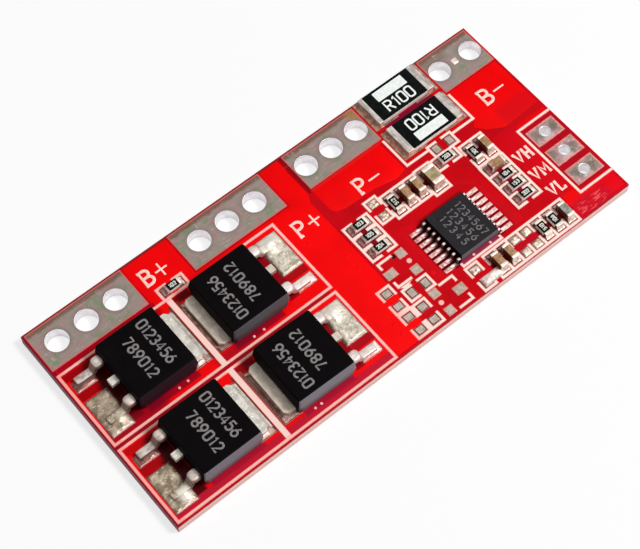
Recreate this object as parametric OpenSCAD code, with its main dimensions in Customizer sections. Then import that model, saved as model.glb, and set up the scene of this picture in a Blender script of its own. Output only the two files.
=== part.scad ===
// Battery management board: a rigid circuit board with plated-through power pads along one
// long edge, four power transistors, two current-sense resistors, a sixteen-lead protection
// chip with its chip resistors and capacitors, and three tap pads for the cell voltages.
// Millimetres. The origin is the middle of the underside and +Z is up. +X runs along the
// board towards the tap pads, and +Y across it towards the power pads.

/* [Board] */
// Length of the board
board_l = 50; // [50:0.5:60]
// Width of the board
board_w = 22; // [22:0.5:30]
// Thickness of the board
board_t = 1.2; // [0.8:0.1:2.4]
// Thickness of the tinned copper lands over the board's face
land_t = 0.06; // [0.04:0.01:0.1]
// Wall of the plating inside the drilled holes
plating_t = 0.05; // [0.03:0.01:0.1]
// Diameter of the bare drilled hole beside the left bank
test_hole_d = 0.45; // [0.3:0.05:0.6]

/* [Printed legend] */
// Width of the printed lines
legend_w = 0.28; // [0.2:0.02:0.3]
// Thickness of the ink
legend_t = 0.03; // [0.02:0.01:0.04]
// Gap between a printed line and the land it goes around
legend_gap = 0.02; // [0.01:0.01:0.04]
// Half the opening left in the long sides of a chip's frame
frame_opening = 0.25; // [0.1:0.05:0.4]

/* [Power pads] */
// Width of the power pads, across the board
power_pad_w = 4.25; // [3.6:0.05:4.4]
// Bare margin between the power pads and the board's edges
pad_margin = 0.2; // [0.1:0.05:0.4]
// Length of the battery plus pad
b_plus_l = 10.05; // [9:0.05:10.4]
// Length of the output plus pad
p_plus_l = 10.1; // [9:0.05:11]
// Gap between the battery plus pad and the output plus pad
p_plus_gap = 5.05; // [4.6:0.05:6]
// Length of the output minus pad
p_minus_l = 8.2; // [8.1:0.05:8.6]
// Length of the battery minus pad
b_minus_l = 5.85; // [5.7:0.05:6.2]
// Gap between the sense resistors' lands and the pads beside them
sense_side_gap = 0.15; // [0.1:0.05:0.3]
// Finished diameter of the holes in the power pads
power_hole_d = 2.1; // [1.6:0.1:2.2]
// Distance from the hole row to the board's edge
power_hole_inset = 2.3; // [1.9:0.05:2.8]
// Distance from hole to hole in the pads with three holes
plus_hole_pitch = 3.05; // [2.8:0.05:3.2]
// Distance from hole to hole in the output minus pad
p_minus_hole_pitch = 2.88; // [2.7:0.02:2.92]
// Distance between the two holes of the battery minus pad
b_minus_hole_pitch = 3.65; // [2.8:0.05:3.7]

/* [Tap pads] */
// Length of a tap pad, along the board
tap_pad_l = 3.15; // [2:0.05:3.3]
// Width of a tap pad
tap_pad_w = 1.9; // [1.6:0.05:2.2]
// Finished diameter of the tap holes
tap_hole_d = 1.05; // [0.8:0.05:1.3]
// Distance from tap hole to tap hole
tap_pitch = 2.54; // [2.3:0.01:2.54]
// Distance of the tap holes from the end of the board
tap_from_right = 1.97; // [1.97:0.01:2.2]
// Distance of the first tap hole from the front edge
tap_from_front = 3.7; // [3:0.05:4]
// Distance from the printed tap frame to the tap pads
tap_frame_gap = 0.6; // [0.3:0.05:0.9]

/* [Power transistors] */
// Length of the moulded body, along the leads
fet_l = 6.1; // [5.8:0.05:6.3]
// Width of the moulded body
fet_w = 6.5; // [6.3:0.05:6.7]
// Height of the top face over the lands
fet_h = 2.3; // [2.1:0.05:2.6]
// How far the sides lean in from the parting line to the top
fet_draft = 0.2; // [0.1:0.05:0.35]
// How far the sides lean in below the parting line
fet_under_draft = 0.08; // [0.04:0.02:0.16]
// Height of the parting line, where the leads come out
fet_parting_z = 0.95; // [0.85:0.05:1.1]
// Gap under the plastic
fet_body_gap = 0.05; // [0.03:0.01:0.1]
// Width of the metal tab
fet_tab_w = 5.4; // [5:0.05:5.6]
// Thickness of the metal tab
fet_tab_t = 0.5; // [0.4:0.05:0.6]
// How far the tab stands out of the body
fet_tab_reach = 1; // [0.8:0.05:1.15]
// How far the tab runs inside the body from the tab side
fet_tab_inside = 4.8; // [4:0.1:5]
// Distance between neighbouring leads
fet_lead_pitch = 2.29; // [2.2:0.01:2.35]
// Width of a lead
fet_lead_w = 0.76; // [0.6:0.02:0.9]
// Thickness of a lead
fet_lead_t = 0.5; // [0.4:0.02:0.54]
// How far the lead tips stand out of the body
fet_lead_reach = 2.7; // [2.6:0.05:2.9]
// Straight part of a lead before its first bend
fet_lead_straight = 0.3; // [0.2:0.05:0.4]
// Inner radius of the lead bends
fet_bend_r = 0.2; // [0.1:0.05:0.25]
// How far the leads run inside the body
fet_lead_inside = 0.7; // [0.4:0.05:0.8]
// Length of the cut-off middle lead
fet_stub_l = 0.75; // [0.5:0.05:1]
// Bare room beyond the transistor inside its printed frame, at both ends
fet_room = 0.755; // [0.6:0.005:0.8]
// Bare room beside the transistor inside its printed frame
fet_side_room = 0.75; // [0.5:0.05:0.75]
// Distance from the printed frames to the board's left and front edges
fet_frame_margin = 0.3; // [0.2:0.05:0.3]
// Gap between the front row of frames and the back row
fet_row_gap = 0.6; // [0.4:0.05:0.6]

/* [Sense resistors] */
// Length of a sense resistor
sense_l = 6.4; // [6.2:0.05:6.5]
// Width of a sense resistor
sense_w = 3.2; // [3:0.05:3.3]
// Height of a sense resistor
sense_h = 0.6; // [0.5:0.05:0.8]
// Length of the metal ends
sense_end_l = 0.65; // [0.5:0.05:0.8]
// Thickness of the metal ends
sense_metal_t = 0.08; // [0.05:0.01:0.12]
// How far the lands reach beyond a sense resistor's ends
sense_toe = 0.5; // [0.4:0.05:0.6]
// Length of a sense resistor's land
sense_land_l = 2.6; // [1.6:0.05:2.8]
// Width of a sense resistor's land
sense_land_w = 3.5; // [3.4:0.05:3.6]
// Distance from the back sense resistor to the board's edge
sense_from_back = 0.25; // [0.2:0.05:0.4]
// Distance between the two sense resistors' middles
sense_pitch = 3.95; // [3.8:0.05:4]

/* [Protection chip] */
// Length of the chip's body, along its rows of leads
ic_l = 5; // [4.9:0.05:5.1]
// Width of the chip's body
ic_w = 4.4; // [4.2:0.05:4.5]
// Height of the chip's top over the lands
ic_h = 1.1; // [0.95:0.05:1.3]
// Gap under the chip
ic_gap = 0.1; // [0.05:0.01:0.15]
// How far the chip's sides lean in from the parting line
ic_draft = 0.1; // [0.05:0.01:0.15]
// Leads on each side
ic_side_leads = 8; // [6:1:8]
// Distance between leads
ic_pitch = 0.65; // [0.6:0.01:0.65]
// Width of a lead
ic_lead_w = 0.24; // [0.18:0.02:0.3]
// Thickness of a lead
ic_lead_t = 0.14; // [0.1:0.01:0.18]
// Distance between the lead tips across the chip
ic_span = 6.4; // [6.3:0.05:6.6]
// Inner radius of the lead bends
ic_bend_r = 0.09; // [0.06:0.01:0.1]
// Height where the leads leave the body
ic_lead_z = 0.5; // [0.45:0.01:0.55]
// Length of a land
ic_land_l = 1.45; // [1.2:0.05:1.5]
// Width of a land
ic_land_w = 0.4; // [0.34:0.02:0.46]
// How far the lands reach beyond the lead tips
ic_toe = 0.65; // [0.4:0.05:0.7]
// Diameter of the dimple by the first lead
ic_dimple_d = 0.6; // [0.4:0.05:0.8]
// Depth of the dimple
ic_dimple_depth = 0.06; // [0.03:0.01:0.1]
// Distance of the dimple from the two sides of the body
ic_dimple_inset = 0.75; // [0.6:0.05:1]
// Distance of the chip's middle from the right end of the board
ic_from_right = 14.5; // [14.3:0.05:14.7]
// Distance of the chip's middle from the front edge
ic_from_front = 6; // [5.9:0.05:6.1]

/* [Chip resistors and capacitors] */
// Length of a small chip
chip_l = 1.6; // [1.5:0.05:1.7]
// Width of a small chip
chip_w = 0.8; // [0.7:0.05:0.9]
// Height of a chip resistor
resistor_h = 0.45; // [0.35:0.05:0.6]
// Height of a small chip capacitor
capacitor_h = 0.8; // [0.6:0.05:0.9]
// Length of the metal ends of a small chip
chip_end_l = 0.3; // [0.2:0.02:0.36]
// Thickness of the metal ends
chip_metal_t = 0.05; // [0.03:0.01:0.08]
// Length of the large capacitor
big_chip_l = 2; // [1.9:0.05:2.1]
// Width of the large capacitor
big_chip_w = 1.25; // [1.1:0.05:1.3]
// Height of the large capacitor
big_chip_h = 0.9; // [0.7:0.05:1.2]
// Length of the metal ends of the large capacitor
big_chip_end_l = 0.45; // [0.3:0.05:0.5]
// Length of a small chip's land
chip_land_l = 0.82; // [0.7:0.02:0.9]
// Width of a small chip's land
chip_land_w = 0.95; // [0.8:0.05:0.95]
// Distance between the outer ends of a small chip's two lands
chip_land_span = 2.34; // [2.2:0.02:2.36]
// Distance between the outer ends of the large capacitor's two lands
big_chip_land_span = 2.8; // [2.7:0.05:2.9]

/* [Where the small chips stand] */
// Step from chip to chip in the row behind the protection chip
back_row_pitch = 1.3; // [1.28:0.01:1.32]
// Step from that row's last small chip to the large capacitor
big_chip_step = 1.65; // [1.6:0.01:1.75]
// Step from chip to chip in the left bank
left_bank_pitch = 1.4; // [1.3:0.01:1.4]
// Step from chip to chip in the right bank
right_bank_pitch = 1.28; // [1.26:0.01:1.3]
// Step from chip to chip in the row along the front edge
edge_row_pitch = 1.3; // [1.27:0.01:1.31]
// Span across a three-land footprint, middle to middle
sot_span = 2; // [1.9:0.02:2.05]
// Step between the two lands on one side of it
sot_pitch = 2.05; // [2:0.02:2.1]

/* [Hidden] */
left = -board_l / 2;
right = board_l / 2;
front = -board_w / 2;
back = board_w / 2;
top = board_t;
seat = top + land_t;

// Places are [distance from the right end, distance from the front edge, turn in degrees]
back_row_at = [17.25, 11.65];
left_bank_at = [21.1, 11.9];
right_bank_at = [7.8, 8.9];
right_pair_at = [7.8, 11.1];
edge_row_at = [14.2, 1.5];
link_at = [10.7, 12.3];
led_at = [21.05, 4.05];
spare_at = [[18.72, 12.1, 90], [9.92, 13.6, 0], [23.55, 4.55, 90], [23.55, 1.7, 90], [22, 1.7, 90]];
// Step from the edge row's first chip to the empty footprint beyond it
lone_spare_step = 2;
sot_at = [[21.05, 6.57, 0], [19.4, 1.75, 180]];
test_hole_at = [20.75, 7.75];
// The feed resistor stands in the gap between the two plus pads
feed_from_pad = 2.55;
feed_from_back = 4.45;
// The large capacitor stands a little in front of its row
big_chip_shift = 0.15;
// The lone land of a three-land footprint, and the two square ones
sot_lone_land = [1.15, 0.9];
sot_pair_land = 0.9;
// How far each transistor was soldered off the middle of its lands, and turned
fet_slip = [[0, 0.2, 0], [-0.25, 0.05, 0], [0.05, 0.2, 0], [0, 0.2, -1]];
// Slices along one bend of a lead
bend_steps = 4;
fet_bend_angle = 68;
ic_bend_angle = 76;
mask_red = [0.8, 0.02, 0.04];
ink = [1, 0.85, 0.82];
tin = [0.6, 0.58, 0.54];
bright_tin = [0.78, 0.77, 0.72];
mould = [0.07, 0.07, 0.08];
tan_ceramic = [0.6, 0.5, 0.4];

fet_count = 4;
sense_count = 2;

// A place on the board, given from its right end and front edge, and n places in steps from one
function board_place(p) = [right - p[0], front + p[1], len(p) > 2 ? p[2] : 0];
function bank(first, n, step, turn) =
    [for (k = [0:n - 1]) board_place([first[0] - step[0] * k, first[1] - step[1] * k, turn])];

back_row = bank(back_row_at, 3, [back_row_pitch, 0], 90);
left_bank = bank(left_bank_at, 3, [0, left_bank_pitch], 0);
right_bank = bank(right_bank_at, 4, [0, right_bank_pitch], 0);
edge_row = bank(edge_row_at, 7, [edge_row_pitch, 0], 90);
right_pair = bank([right_pair_at[0] + back_row_pitch / 2, right_pair_at[1]], 2,
    [back_row_pitch, 0], 90);
feed_place = [left + pad_margin + b_plus_l + feed_from_pad, back - feed_from_back, 0];
big_chip_place = [back_row[2][0] + big_chip_step, back_row[2][1] - big_chip_shift, 90];

resistor_places = concat([feed_place], left_bank, [back_row[0]], [board_place(link_at)],
    [right_pair[0]], [right_bank[1], right_bank[2], right_bank[3]], [edge_row[4], edge_row[5]]);
capacitor_places = [back_row[1], back_row[2], right_pair[1], right_bank[0],
    edge_row[0], edge_row[1], edge_row[6]];
spare_places = concat([edge_row[2], edge_row[3], [edge_row[0][0] - lone_spare_step, edge_row[0][1], 90]],
    [for (p = spare_at) board_place(p)], [board_place(led_at)]);
small_places = concat(resistor_places, capacitor_places, spare_places);
resistor_count = len(resistor_places);
capacitor_count = len(capacitor_places) + 1;

// A block centred on x and y whose base is at z
module block(size, z = 0) {
    translate([-size[0] / 2, -size[1] / 2, z]) cube(size);
}

module at(place) {
    translate([place[0], place[1], 0]) rotate(len(place) > 2 ? place[2] : 0) children();
}

// ---- Board and plated-through pads: [middle, length, width, hole middles, hole diameter]
power_y = back - pad_margin - power_pad_w / 2;
hole_row_y = back - power_hole_inset;
function hole_row(x, n, pitch) = [for (k = [0:n - 1]) [x + (k - (n - 1) / 2) * pitch, hole_row_y]];

b_plus_x = left + pad_margin + b_plus_l / 2;
p_plus_x = left + pad_margin + b_plus_l + p_plus_gap + p_plus_l / 2;
b_minus_x = right - pad_margin - b_minus_l / 2;
sense_x = b_minus_x - b_minus_l / 2 - sense_side_gap - sense_l / 2 - sense_toe;
p_minus_x = sense_x - sense_l / 2 - sense_toe - sense_side_gap - p_minus_l / 2;
tap_x = right - tap_from_right;
tap_y = [for (k = [0:2]) front + tap_from_front + k * tap_pitch];

b_plus = [[b_plus_x, power_y], b_plus_l, power_pad_w,
    hole_row(b_plus_x, 3, plus_hole_pitch), power_hole_d];
p_plus = [[p_plus_x, power_y], p_plus_l, power_pad_w,
    hole_row(p_plus_x, 3, plus_hole_pitch), power_hole_d];
p_minus = [[p_minus_x, power_y], p_minus_l, power_pad_w,
    hole_row(p_minus_x, 3, p_minus_hole_pitch), power_hole_d];
b_minus = [[b_minus_x, power_y], b_minus_l, power_pad_w,
    hole_row(b_minus_x, 2, b_minus_hole_pitch), power_hole_d];
taps = [for (y = tap_y) [[tap_x, y], tap_pad_l, tap_pad_w, [[tap_x, y]], tap_hole_d]];

// What a plated pad takes out of the board: its barrels and the land let into the underside
module plated_seat(pad) {
    for (h = pad[3]) translate([h[0], h[1], -1])
        cylinder(d = pad[4] + 2 * plating_t, h = top + 2, $fn = 48);
    translate([pad[0][0], pad[0][1], 0]) block([pad[1], pad[2], land_t + 1], -1);
}

module plated_pad(pad) {
    color(tin) difference() {
        union() {
            translate([pad[0][0], pad[0][1], 0]) {
                block([pad[1], pad[2], land_t], top);
                block([pad[1], pad[2], land_t], 0);
            }
            for (h = pad[3]) translate([h[0], h[1], 0])
                cylinder(d = pad[4] + 2 * plating_t, h = seat, $fn = 48);
        }
        for (h = pad[3]) translate([h[0], h[1], -1]) cylinder(d = pad[4], h = seat + 2, $fn = 48);
    }
}

module board() {
    color(mask_red) difference() {
        block([board_l, board_w, board_t]);
        for (pad = concat([b_plus, p_plus, p_minus, b_minus], taps)) plated_seat(pad);
        at(board_place(test_hole_at)) translate([0, 0, -1])
            cylinder(d = test_hole_d, h = top + 2, $fn = 24);
    }
}

// ---- Footprints
chip_land_x = (chip_land_span - chip_land_l) / 2;
// How far the large capacitor's lands reach beyond its metal ends, inwards and sideways
big_land_heel = 0.15;
big_land_side = 0.05;
big_land_l = (big_chip_land_span - big_chip_l) / 2 + big_chip_end_l + big_land_heel;
big_land_w = big_chip_w + 2 * big_land_side;

module chip_footprint() {
    for (s = [-1, 1]) translate([s * chip_land_x, 0, 0]) block([chip_land_l, chip_land_w, land_t], top);
}

module sot_footprint() {
    translate([-sot_span / 2, 0, 0]) block([sot_lone_land[0], sot_lone_land[1], land_t], top);
    for (s = [-1, 1]) translate([sot_span / 2, s * sot_pitch / 2, 0])
        block([sot_pair_land, sot_pair_land, land_t], top);
}

module chip_lands() {
    color(tin) {
        for (p = concat(resistor_places, capacitor_places)) at(p) chip_footprint();
        at(big_chip_place) for (s = [-1, 1])
            translate([s * (big_chip_land_span - big_land_l) / 2, 0, 0])
                block([big_land_l, big_land_w, land_t], top);
    }
}

module spare_lands() {
    color(tin) {
        for (p = spare_places) at(p) chip_footprint();
        for (p = sot_at) at(board_place(p)) sot_footprint();
    }
}

// ---- A gull-wing strip, as an outline in x and z: straight from x = inner, first bend at
// x = knee, sloping down at the given angle, and a flat foot that ends at x = tip
function bend(c, r, a, b) = [for (k = [0:bend_steps]) c + r * [cos(a + (b - a) * k / bend_steps),
    sin(a + (b - a) * k / bend_steps)]];
function gull_wing(inner, knee, tip, z, t, r, slope) =
    let (mid_r = r + t / 2,
         run = (z - 2 * r - t + 2 * mid_r * cos(slope)) / sin(slope),
         knee_c = [knee, z - r],
         foot_c = [knee + run * cos(slope) + 2 * mid_r * sin(slope), t + r])
    concat([[inner, z + t]], bend(knee_c, r + t, 90, 90 - slope),
        bend(foot_c, r, 270 - slope, 270), [[tip, t], [tip, 0]],
        bend(foot_c, r + t, 270, 270 - slope), bend(knee_c, r, 90 - slope, 90), [[inner, z]]);

module gull_lead(w, outline) {
    translate([0, w / 2, 0]) rotate([90, 0, 0]) linear_extrude(w) polygon(outline);
}

// A block whose four sides follow one profile: [length, width] at its widest, the levels of its
// bottom, its widest line and its top, and how far it leans in at the bottom and at the top
module moulded(size, z, under, lean) {
    profile = function(half) [[-half + under, z[0]], [-half, z[1]], [-half + lean, z[2]],
        [half - lean, z[2]], [half, z[1]], [half - under, z[0]]];
    intersection() {
        translate([0, size[1], 0]) rotate([90, 0, 0])
            linear_extrude(2 * size[1]) polygon(profile(size[0] / 2));
        translate([-size[0], 0, 0]) rotate([90, 0, 90])
            linear_extrude(2 * size[0]) polygon(profile(size[1] / 2));
    }
}

// ---- Power transistors, in their own frame: leads towards -X, gate lead at +Y, tab towards +X
fet_cell_l = fet_lead_reach + fet_l + fet_tab_reach + 2 * fet_room;
fet_cell_w = fet_w + 2 * fet_side_room;
fet_lead_side = fet_room + fet_lead_reach + fet_l / 2;
fet_frame_x = left + fet_frame_margin;
fet_frame_y = front + fet_frame_margin;
fet_cell_x = [fet_frame_x, fet_frame_x + fet_cell_l + legend_w];
fet_cell_y = [fet_frame_y + fet_cell_w + fet_row_gap, fet_frame_y];
fet_tip = fet_l / 2 + fet_lead_reach;
fet_tab_end = fet_l / 2 + fet_tab_reach;
fet_source_land = [2.3, 4.15];
fet_gate_land = [2.1, 1.15];
fet_land_toe = 0.5;
fet_drain_toe = 0.45;
fet_drain_side = 0.2;
fet_drain_land = [5.2, fet_tab_w + 2 * fet_drain_side];
// The middles of the source and gate lands, from the lead tips and from the outer leads
fet_source_shift = 0.9;
fet_gate_shift = 0.1;
fet_tab_chamfer = 0.35;

// The middle of transistor k's footprint. The right-hand column is turned half round.
function fet_place(k) = let (col = k % 2, row = floor(k / 2))
    [col == 0 ? fet_cell_x[0] + fet_lead_side : fet_cell_x[1] + fet_cell_l - fet_lead_side,
     fet_cell_y[row] + fet_cell_w / 2, col * 180];

module on_fet_lands(k) {
    at(fet_place(k)) children();
}

module on_fet(k) {
    translate([fet_slip[k][0], fet_slip[k][1], 0])
        at(fet_place(k)) rotate(fet_slip[k][2]) translate([0, 0, seat]) children();
}

module fet_leads_shape() {
    wing = gull_wing(fet_l / 2 - fet_lead_inside, fet_l / 2 + fet_lead_straight, fet_tip,
        fet_parting_z, fet_lead_t, fet_bend_r, fet_bend_angle);
    for (s = [-1, 1]) translate([0, s * fet_lead_pitch, 0]) rotate(180) gull_lead(fet_lead_w, wing);
}

// The tab, the cut-off middle lead and the riser that joins them inside the plastic
module fet_tab_shape() {
    riser_x = fet_l / 2 - fet_tab_inside;
    half = fet_tab_w / 2;
    cut = fet_tab_chamfer;
    linear_extrude(fet_tab_t) polygon([[riser_x, -half], [fet_tab_end - cut, -half],
        [fet_tab_end, -half + cut], [fet_tab_end, half - cut], [fet_tab_end - cut, half],
        [riser_x, half]]);
    translate([riser_x, -fet_lead_w / 2, 0])
        cube([fet_lead_t, fet_lead_w, fet_parting_z + fet_lead_t]);
    translate([-fet_l / 2 - fet_stub_l, -fet_lead_w / 2, fet_parting_z])
        cube([riser_x + fet_lead_t + fet_l / 2 + fet_stub_l, fet_lead_w, fet_lead_t]);
}

module transistor_body(k) {
    color(mould) on_fet(k) difference() {
        moulded([fet_l, fet_w], [fet_body_gap, fet_parting_z + fet_lead_t / 2, fet_h],
            fet_under_draft, fet_draft);
        fet_tab_shape();
        fet_leads_shape();
    }
}

module transistor_tab(k) {
    color(bright_tin) on_fet(k) fet_tab_shape();
}

module transistor_leads(k) {
    color(bright_tin) on_fet(k) fet_leads_shape();
}

module fet_source_place() {
    translate([-fet_tip - fet_land_toe + fet_source_land[0] / 2, -fet_lead_pitch + fet_source_shift, 0])
        children();
}

module fet_gate_place() {
    translate([-fet_tip - fet_land_toe + fet_gate_land[0] / 2 + fet_gate_shift,
        fet_lead_pitch - fet_gate_shift, 0]) children();
}

module transistor_lands() {
    color(tin) for (k = [0:fet_count - 1]) on_fet_lands(k) {
        fet_source_place() block([fet_source_land[0], fet_source_land[1], land_t], top);
        fet_gate_place() block([fet_gate_land[0], fet_gate_land[1], land_t], top);
        translate([fet_tab_end + fet_drain_toe - fet_drain_land[0] / 2, 0, 0])
            block([fet_drain_land[0], fet_drain_land[1], land_t], top);
    }
}

// ---- Solder
// Bare rim that the solder leaves on a land, and the share of an end's height that it climbs
solder_edge = 0.05;
fillet_share = 0.7;
source_solder_h = 0.22;
gate_solder_h = 0.16;
tab_fillet = 0.2;

// A low mound with rounded shoulders that covers a land up to its rim
module mound(land, h) {
    size = [land[0] - 2 * solder_edge, land[1] - 2 * solder_edge];
    lean = min(h, size[0] / 4, size[1] / 4);
    profile = function(half) [[-half, 0], [-half + lean * 0.3, h * 0.7], [-half + lean, h],
        [half - lean, h], [half - lean * 0.3, h * 0.7], [half, 0]];
    intersection() {
        translate([0, size[1], 0]) rotate([90, 0, 0])
            linear_extrude(2 * size[1]) polygon(profile(size[0] / 2));
        translate([-size[0], 0, 0]) rotate([90, 0, 90])
            linear_extrude(2 * size[0]) polygon(profile(size[1] / 2));
    }
}

// A fillet against the upright face at x = 0, running out along +X
module fillet(reach, w, h) {
    translate([0, w / 2, 0]) rotate([90, 0, 0]) linear_extrude(w) polygon([[0, 0], [reach, 0], [0, h]]);
}

module transistor_solder() {
    color(bright_tin) for (k = [0:fet_count - 1]) {
        difference() {
            on_fet_lands(k) translate([0, 0, seat]) {
                fet_source_place() mound(fet_source_land, source_solder_h);
                fet_gate_place() mound(fet_gate_land, gate_solder_h);
            }
            on_fet(k) fet_leads_shape();
        }
        on_fet(k) translate([fet_tab_end, 0, 0])
            fillet(tab_fillet, fet_tab_w - 2 * fet_tab_chamfer - 2 * tab_fillet, fet_tab_t * fillet_share);
    }
}

// ---- Sense resistors
sense_y = [for (k = [0:sense_count - 1]) back - sense_from_back - sense_w / 2 - k * sense_pitch];
sense_land_x = sense_l / 2 + sense_toe - sense_land_l / 2;

module wrapped_core(l, w, h, end_l, metal_t, sides) {
    block([l - 2 * end_l, w, h]);
    block([l - 2 * metal_t, w - (sides ? 2 * metal_t : 0), h - 2 * metal_t], metal_t);
}

// The two metal ends of a chip. With sides, the metal goes round all four sides.
module wrapped_ends(l, w, h, end_l, metal_t, sides) {
    for (s = [-1, 1]) difference() {
        translate([s * (l - end_l) / 2, 0, 0]) block([end_l, w, h]);
        block([l - 2 * metal_t, w + (sides ? -2 * metal_t : 1), h - 2 * metal_t], metal_t);
    }
}

module sense_resistor_body(k) {
    color(mould) translate([sense_x, sense_y[k], seat])
        wrapped_core(sense_l, sense_w, sense_h, sense_end_l, sense_metal_t, false);
}

module sense_resistor_ends(k) {
    color(bright_tin) translate([sense_x, sense_y[k], seat])
        wrapped_ends(sense_l, sense_w, sense_h, sense_end_l, sense_metal_t, false);
}

module sense_lands() {
    color(tin) for (k = [0:sense_count - 1]) for (s = [-1, 1])
        translate([sense_x + s * sense_land_x, sense_y[k], 0])
            block([sense_land_l, sense_land_w, land_t], top);
}

module sense_solder() {
    color(bright_tin) for (k = [0:sense_count - 1]) for (s = [-1, 1])
        translate([sense_x, sense_y[k], seat]) scale([s, 1, 1]) translate([sense_l / 2, 0, 0])
            fillet(sense_toe - solder_edge, sense_w - 2 * solder_edge, sense_h * fillet_share);
}

// ---- Protection chip, in its own frame: its rows of leads along Y
ic_place = [right - ic_from_right, front + ic_from_front];
ic_lead_y = [for (k = [0:ic_side_leads - 1]) (k - (ic_side_leads - 1) / 2) * ic_pitch];
// How far the leads run inside the body, and straight out of it before the first bend
ic_lead_inside = 0.4;
ic_lead_straight = 0.1;

module on_ic() {
    translate([ic_place[0], ic_place[1], seat]) children();
}

module ic_leads_shape() {
    wing = gull_wing(ic_w / 2 - ic_lead_inside, ic_w / 2 + ic_lead_straight, ic_span / 2,
        ic_lead_z, ic_lead_t, ic_bend_r, ic_bend_angle);
    for (turn = [0, 180]) rotate(turn) for (y = ic_lead_y) translate([0, y, 0])
        gull_lead(ic_lead_w, wing);
}

module protection_chip_body() {
    color(mould) on_ic() difference() {
        moulded([ic_w, ic_l], [ic_gap, ic_lead_z + ic_lead_t / 2, ic_h], ic_draft, ic_draft);
        ic_leads_shape();
        translate([-ic_w / 2 + ic_dimple_inset, ic_l / 2 - ic_dimple_inset, ic_h - ic_dimple_depth])
            cylinder(d = ic_dimple_d, h = 1, $fn = 32);
    }
}

module protection_chip_leads() {
    color(bright_tin) on_ic() ic_leads_shape();
}

module protection_chip_lands() {
    color(tin) on_ic() for (s = [-1, 1]) for (y = ic_lead_y)
        translate([s * (ic_span / 2 + ic_toe - ic_land_l / 2), y, 0])
            block([ic_land_l, ic_land_w, land_t], -land_t);
}

module protection_chip_solder() {
    color(bright_tin) on_ic() for (turn = [0, 180]) rotate(turn) for (y = ic_lead_y)
        translate([ic_span / 2, y, 0]) fillet(ic_toe / 2, ic_lead_w, ic_lead_t);
}

// ---- Small chips
module chip_resistor(k) {
    color(mould) at(resistor_places[k]) translate([0, 0, seat])
        wrapped_core(chip_l, chip_w, resistor_h, chip_end_l, chip_metal_t, false);
}

module chip_capacitor(k) {
    color(tan_ceramic)
        if (k < len(capacitor_places)) at(capacitor_places[k]) translate([0, 0, seat])
            wrapped_core(chip_l, chip_w, capacitor_h, chip_end_l, chip_metal_t, true);
        else at(big_chip_place) translate([0, 0, seat])
            wrapped_core(big_chip_l, big_chip_w, big_chip_h, big_chip_end_l, chip_metal_t, true);
}

module resistor_ends() {
    color(bright_tin) for (p = resistor_places) at(p) translate([0, 0, seat])
        wrapped_ends(chip_l, chip_w, resistor_h, chip_end_l, chip_metal_t, false);
}

module capacitor_ends() {
    color(bright_tin) {
        for (p = capacitor_places) at(p) translate([0, 0, seat])
            wrapped_ends(chip_l, chip_w, capacitor_h, chip_end_l, chip_metal_t, true);
        at(big_chip_place) translate([0, 0, seat])
            wrapped_ends(big_chip_l, big_chip_w, big_chip_h, big_chip_end_l, chip_metal_t, true);
    }
}

module end_fillets(l, w, h, land_span) {
    for (turn = [0, 180]) rotate(turn) translate([l / 2, 0, seat])
        fillet((land_span - l) / 2 - solder_edge, w, h * fillet_share);
}

module chip_solder() {
    color(bright_tin) {
        for (p = resistor_places) at(p) end_fillets(chip_l, chip_w, resistor_h, chip_land_span);
        for (p = capacitor_places) at(p) end_fillets(chip_l, chip_w, capacitor_h, chip_land_span);
        at(big_chip_place) end_fillets(big_chip_l, big_chip_w, big_chip_h, big_chip_land_span);
    }
}

// Solder left where no part stands: low mounds on the spare lands between and beside the
// chips of the two rows, a bead by the front edge, and a dab between two power holes
bead = [0.9, 1.6, 0.4];
dab = [0.7, 0.7, 0.1];
spare_solder_h = 0.12;

module loose_solder() {
    color(bright_tin) {
        for (k = [0, 1, 3]) at(spare_places[k]) for (s = [-1, 1])
            translate([s * chip_land_x, 0, seat]) mound([chip_land_l, chip_land_w], spare_solder_h);
        at(spare_places[2]) {
            translate([chip_land_x, 0, seat]) mound([chip_land_l, chip_land_w], spare_solder_h);
            translate([-chip_land_x, (chip_land_w - bead[1]) / 2, seat]) mound(bead, bead[2]);
        }
        translate([b_minus_x, hole_row_y, seat]) mound(dab, dab[2]);
    }
}

// ---- Printed legend
legend_off = legend_gap + legend_w / 2;
chip_frame = [chip_land_span / 2 + legend_off, chip_land_w / 2 + legend_off];
big_frame = [big_chip_land_span / 2 + legend_off, big_land_w / 2 + legend_off];

module line(a, b) {
    lo = [min(a[0], b[0]) - legend_w / 2, min(a[1], b[1]) - legend_w / 2];
    hi = [max(a[0], b[0]) + legend_w / 2, max(a[1], b[1]) + legend_w / 2];
    translate(lo) square(hi - lo);
}

module frame_2d(lo, hi) {
    line(lo, [hi[0], lo[1]]);
    line(lo, [lo[0], hi[1]]);
    line([hi[0], lo[1]], hi);
    line([lo[0], hi[1]], hi);
}

module chip_frame_2d(half) {
    for (s = [-1, 1]) {
        line([s * half[0], -half[1]], [s * half[0], half[1]]);
        for (v = [-1, 1])
            line([s * (frame_opening + legend_w / 2), v * half[1]], [s * half[0], v * half[1]]);
    }
}

// The corner marks of a three-land footprint, and the dot between its two lands
module sot_marks_2d() {
    mark = [sot_span / 2 + 0.3, sot_pitch / 2 + 0.35];
    mark_end = 0.1;
    mark_leg = 0.5;
    dot_d = 0.5;
    for (s = [-1, 1]) {
        line([-mark[0], s * mark[1]], [mark_end, s * mark[1]]);
        line([-mark[0], s * mark[1]], [-mark[0], s * (mark[1] - mark_leg)]);
    }
    translate([sot_span / 2 + 0.1, 0]) circle(d = dot_d, $fn = 24);
}

// The arrow head printed beside the lamp's footprint
module arrow_2d() {
    base_y = chip_frame[1] + 0.35;
    polygon([[-chip_frame[0], base_y], [0.1, base_y], [-chip_land_x, chip_frame[1]]]);
}

// Bare room between a printed line and the part that it goes around
legend_room = 0.35;

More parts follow.
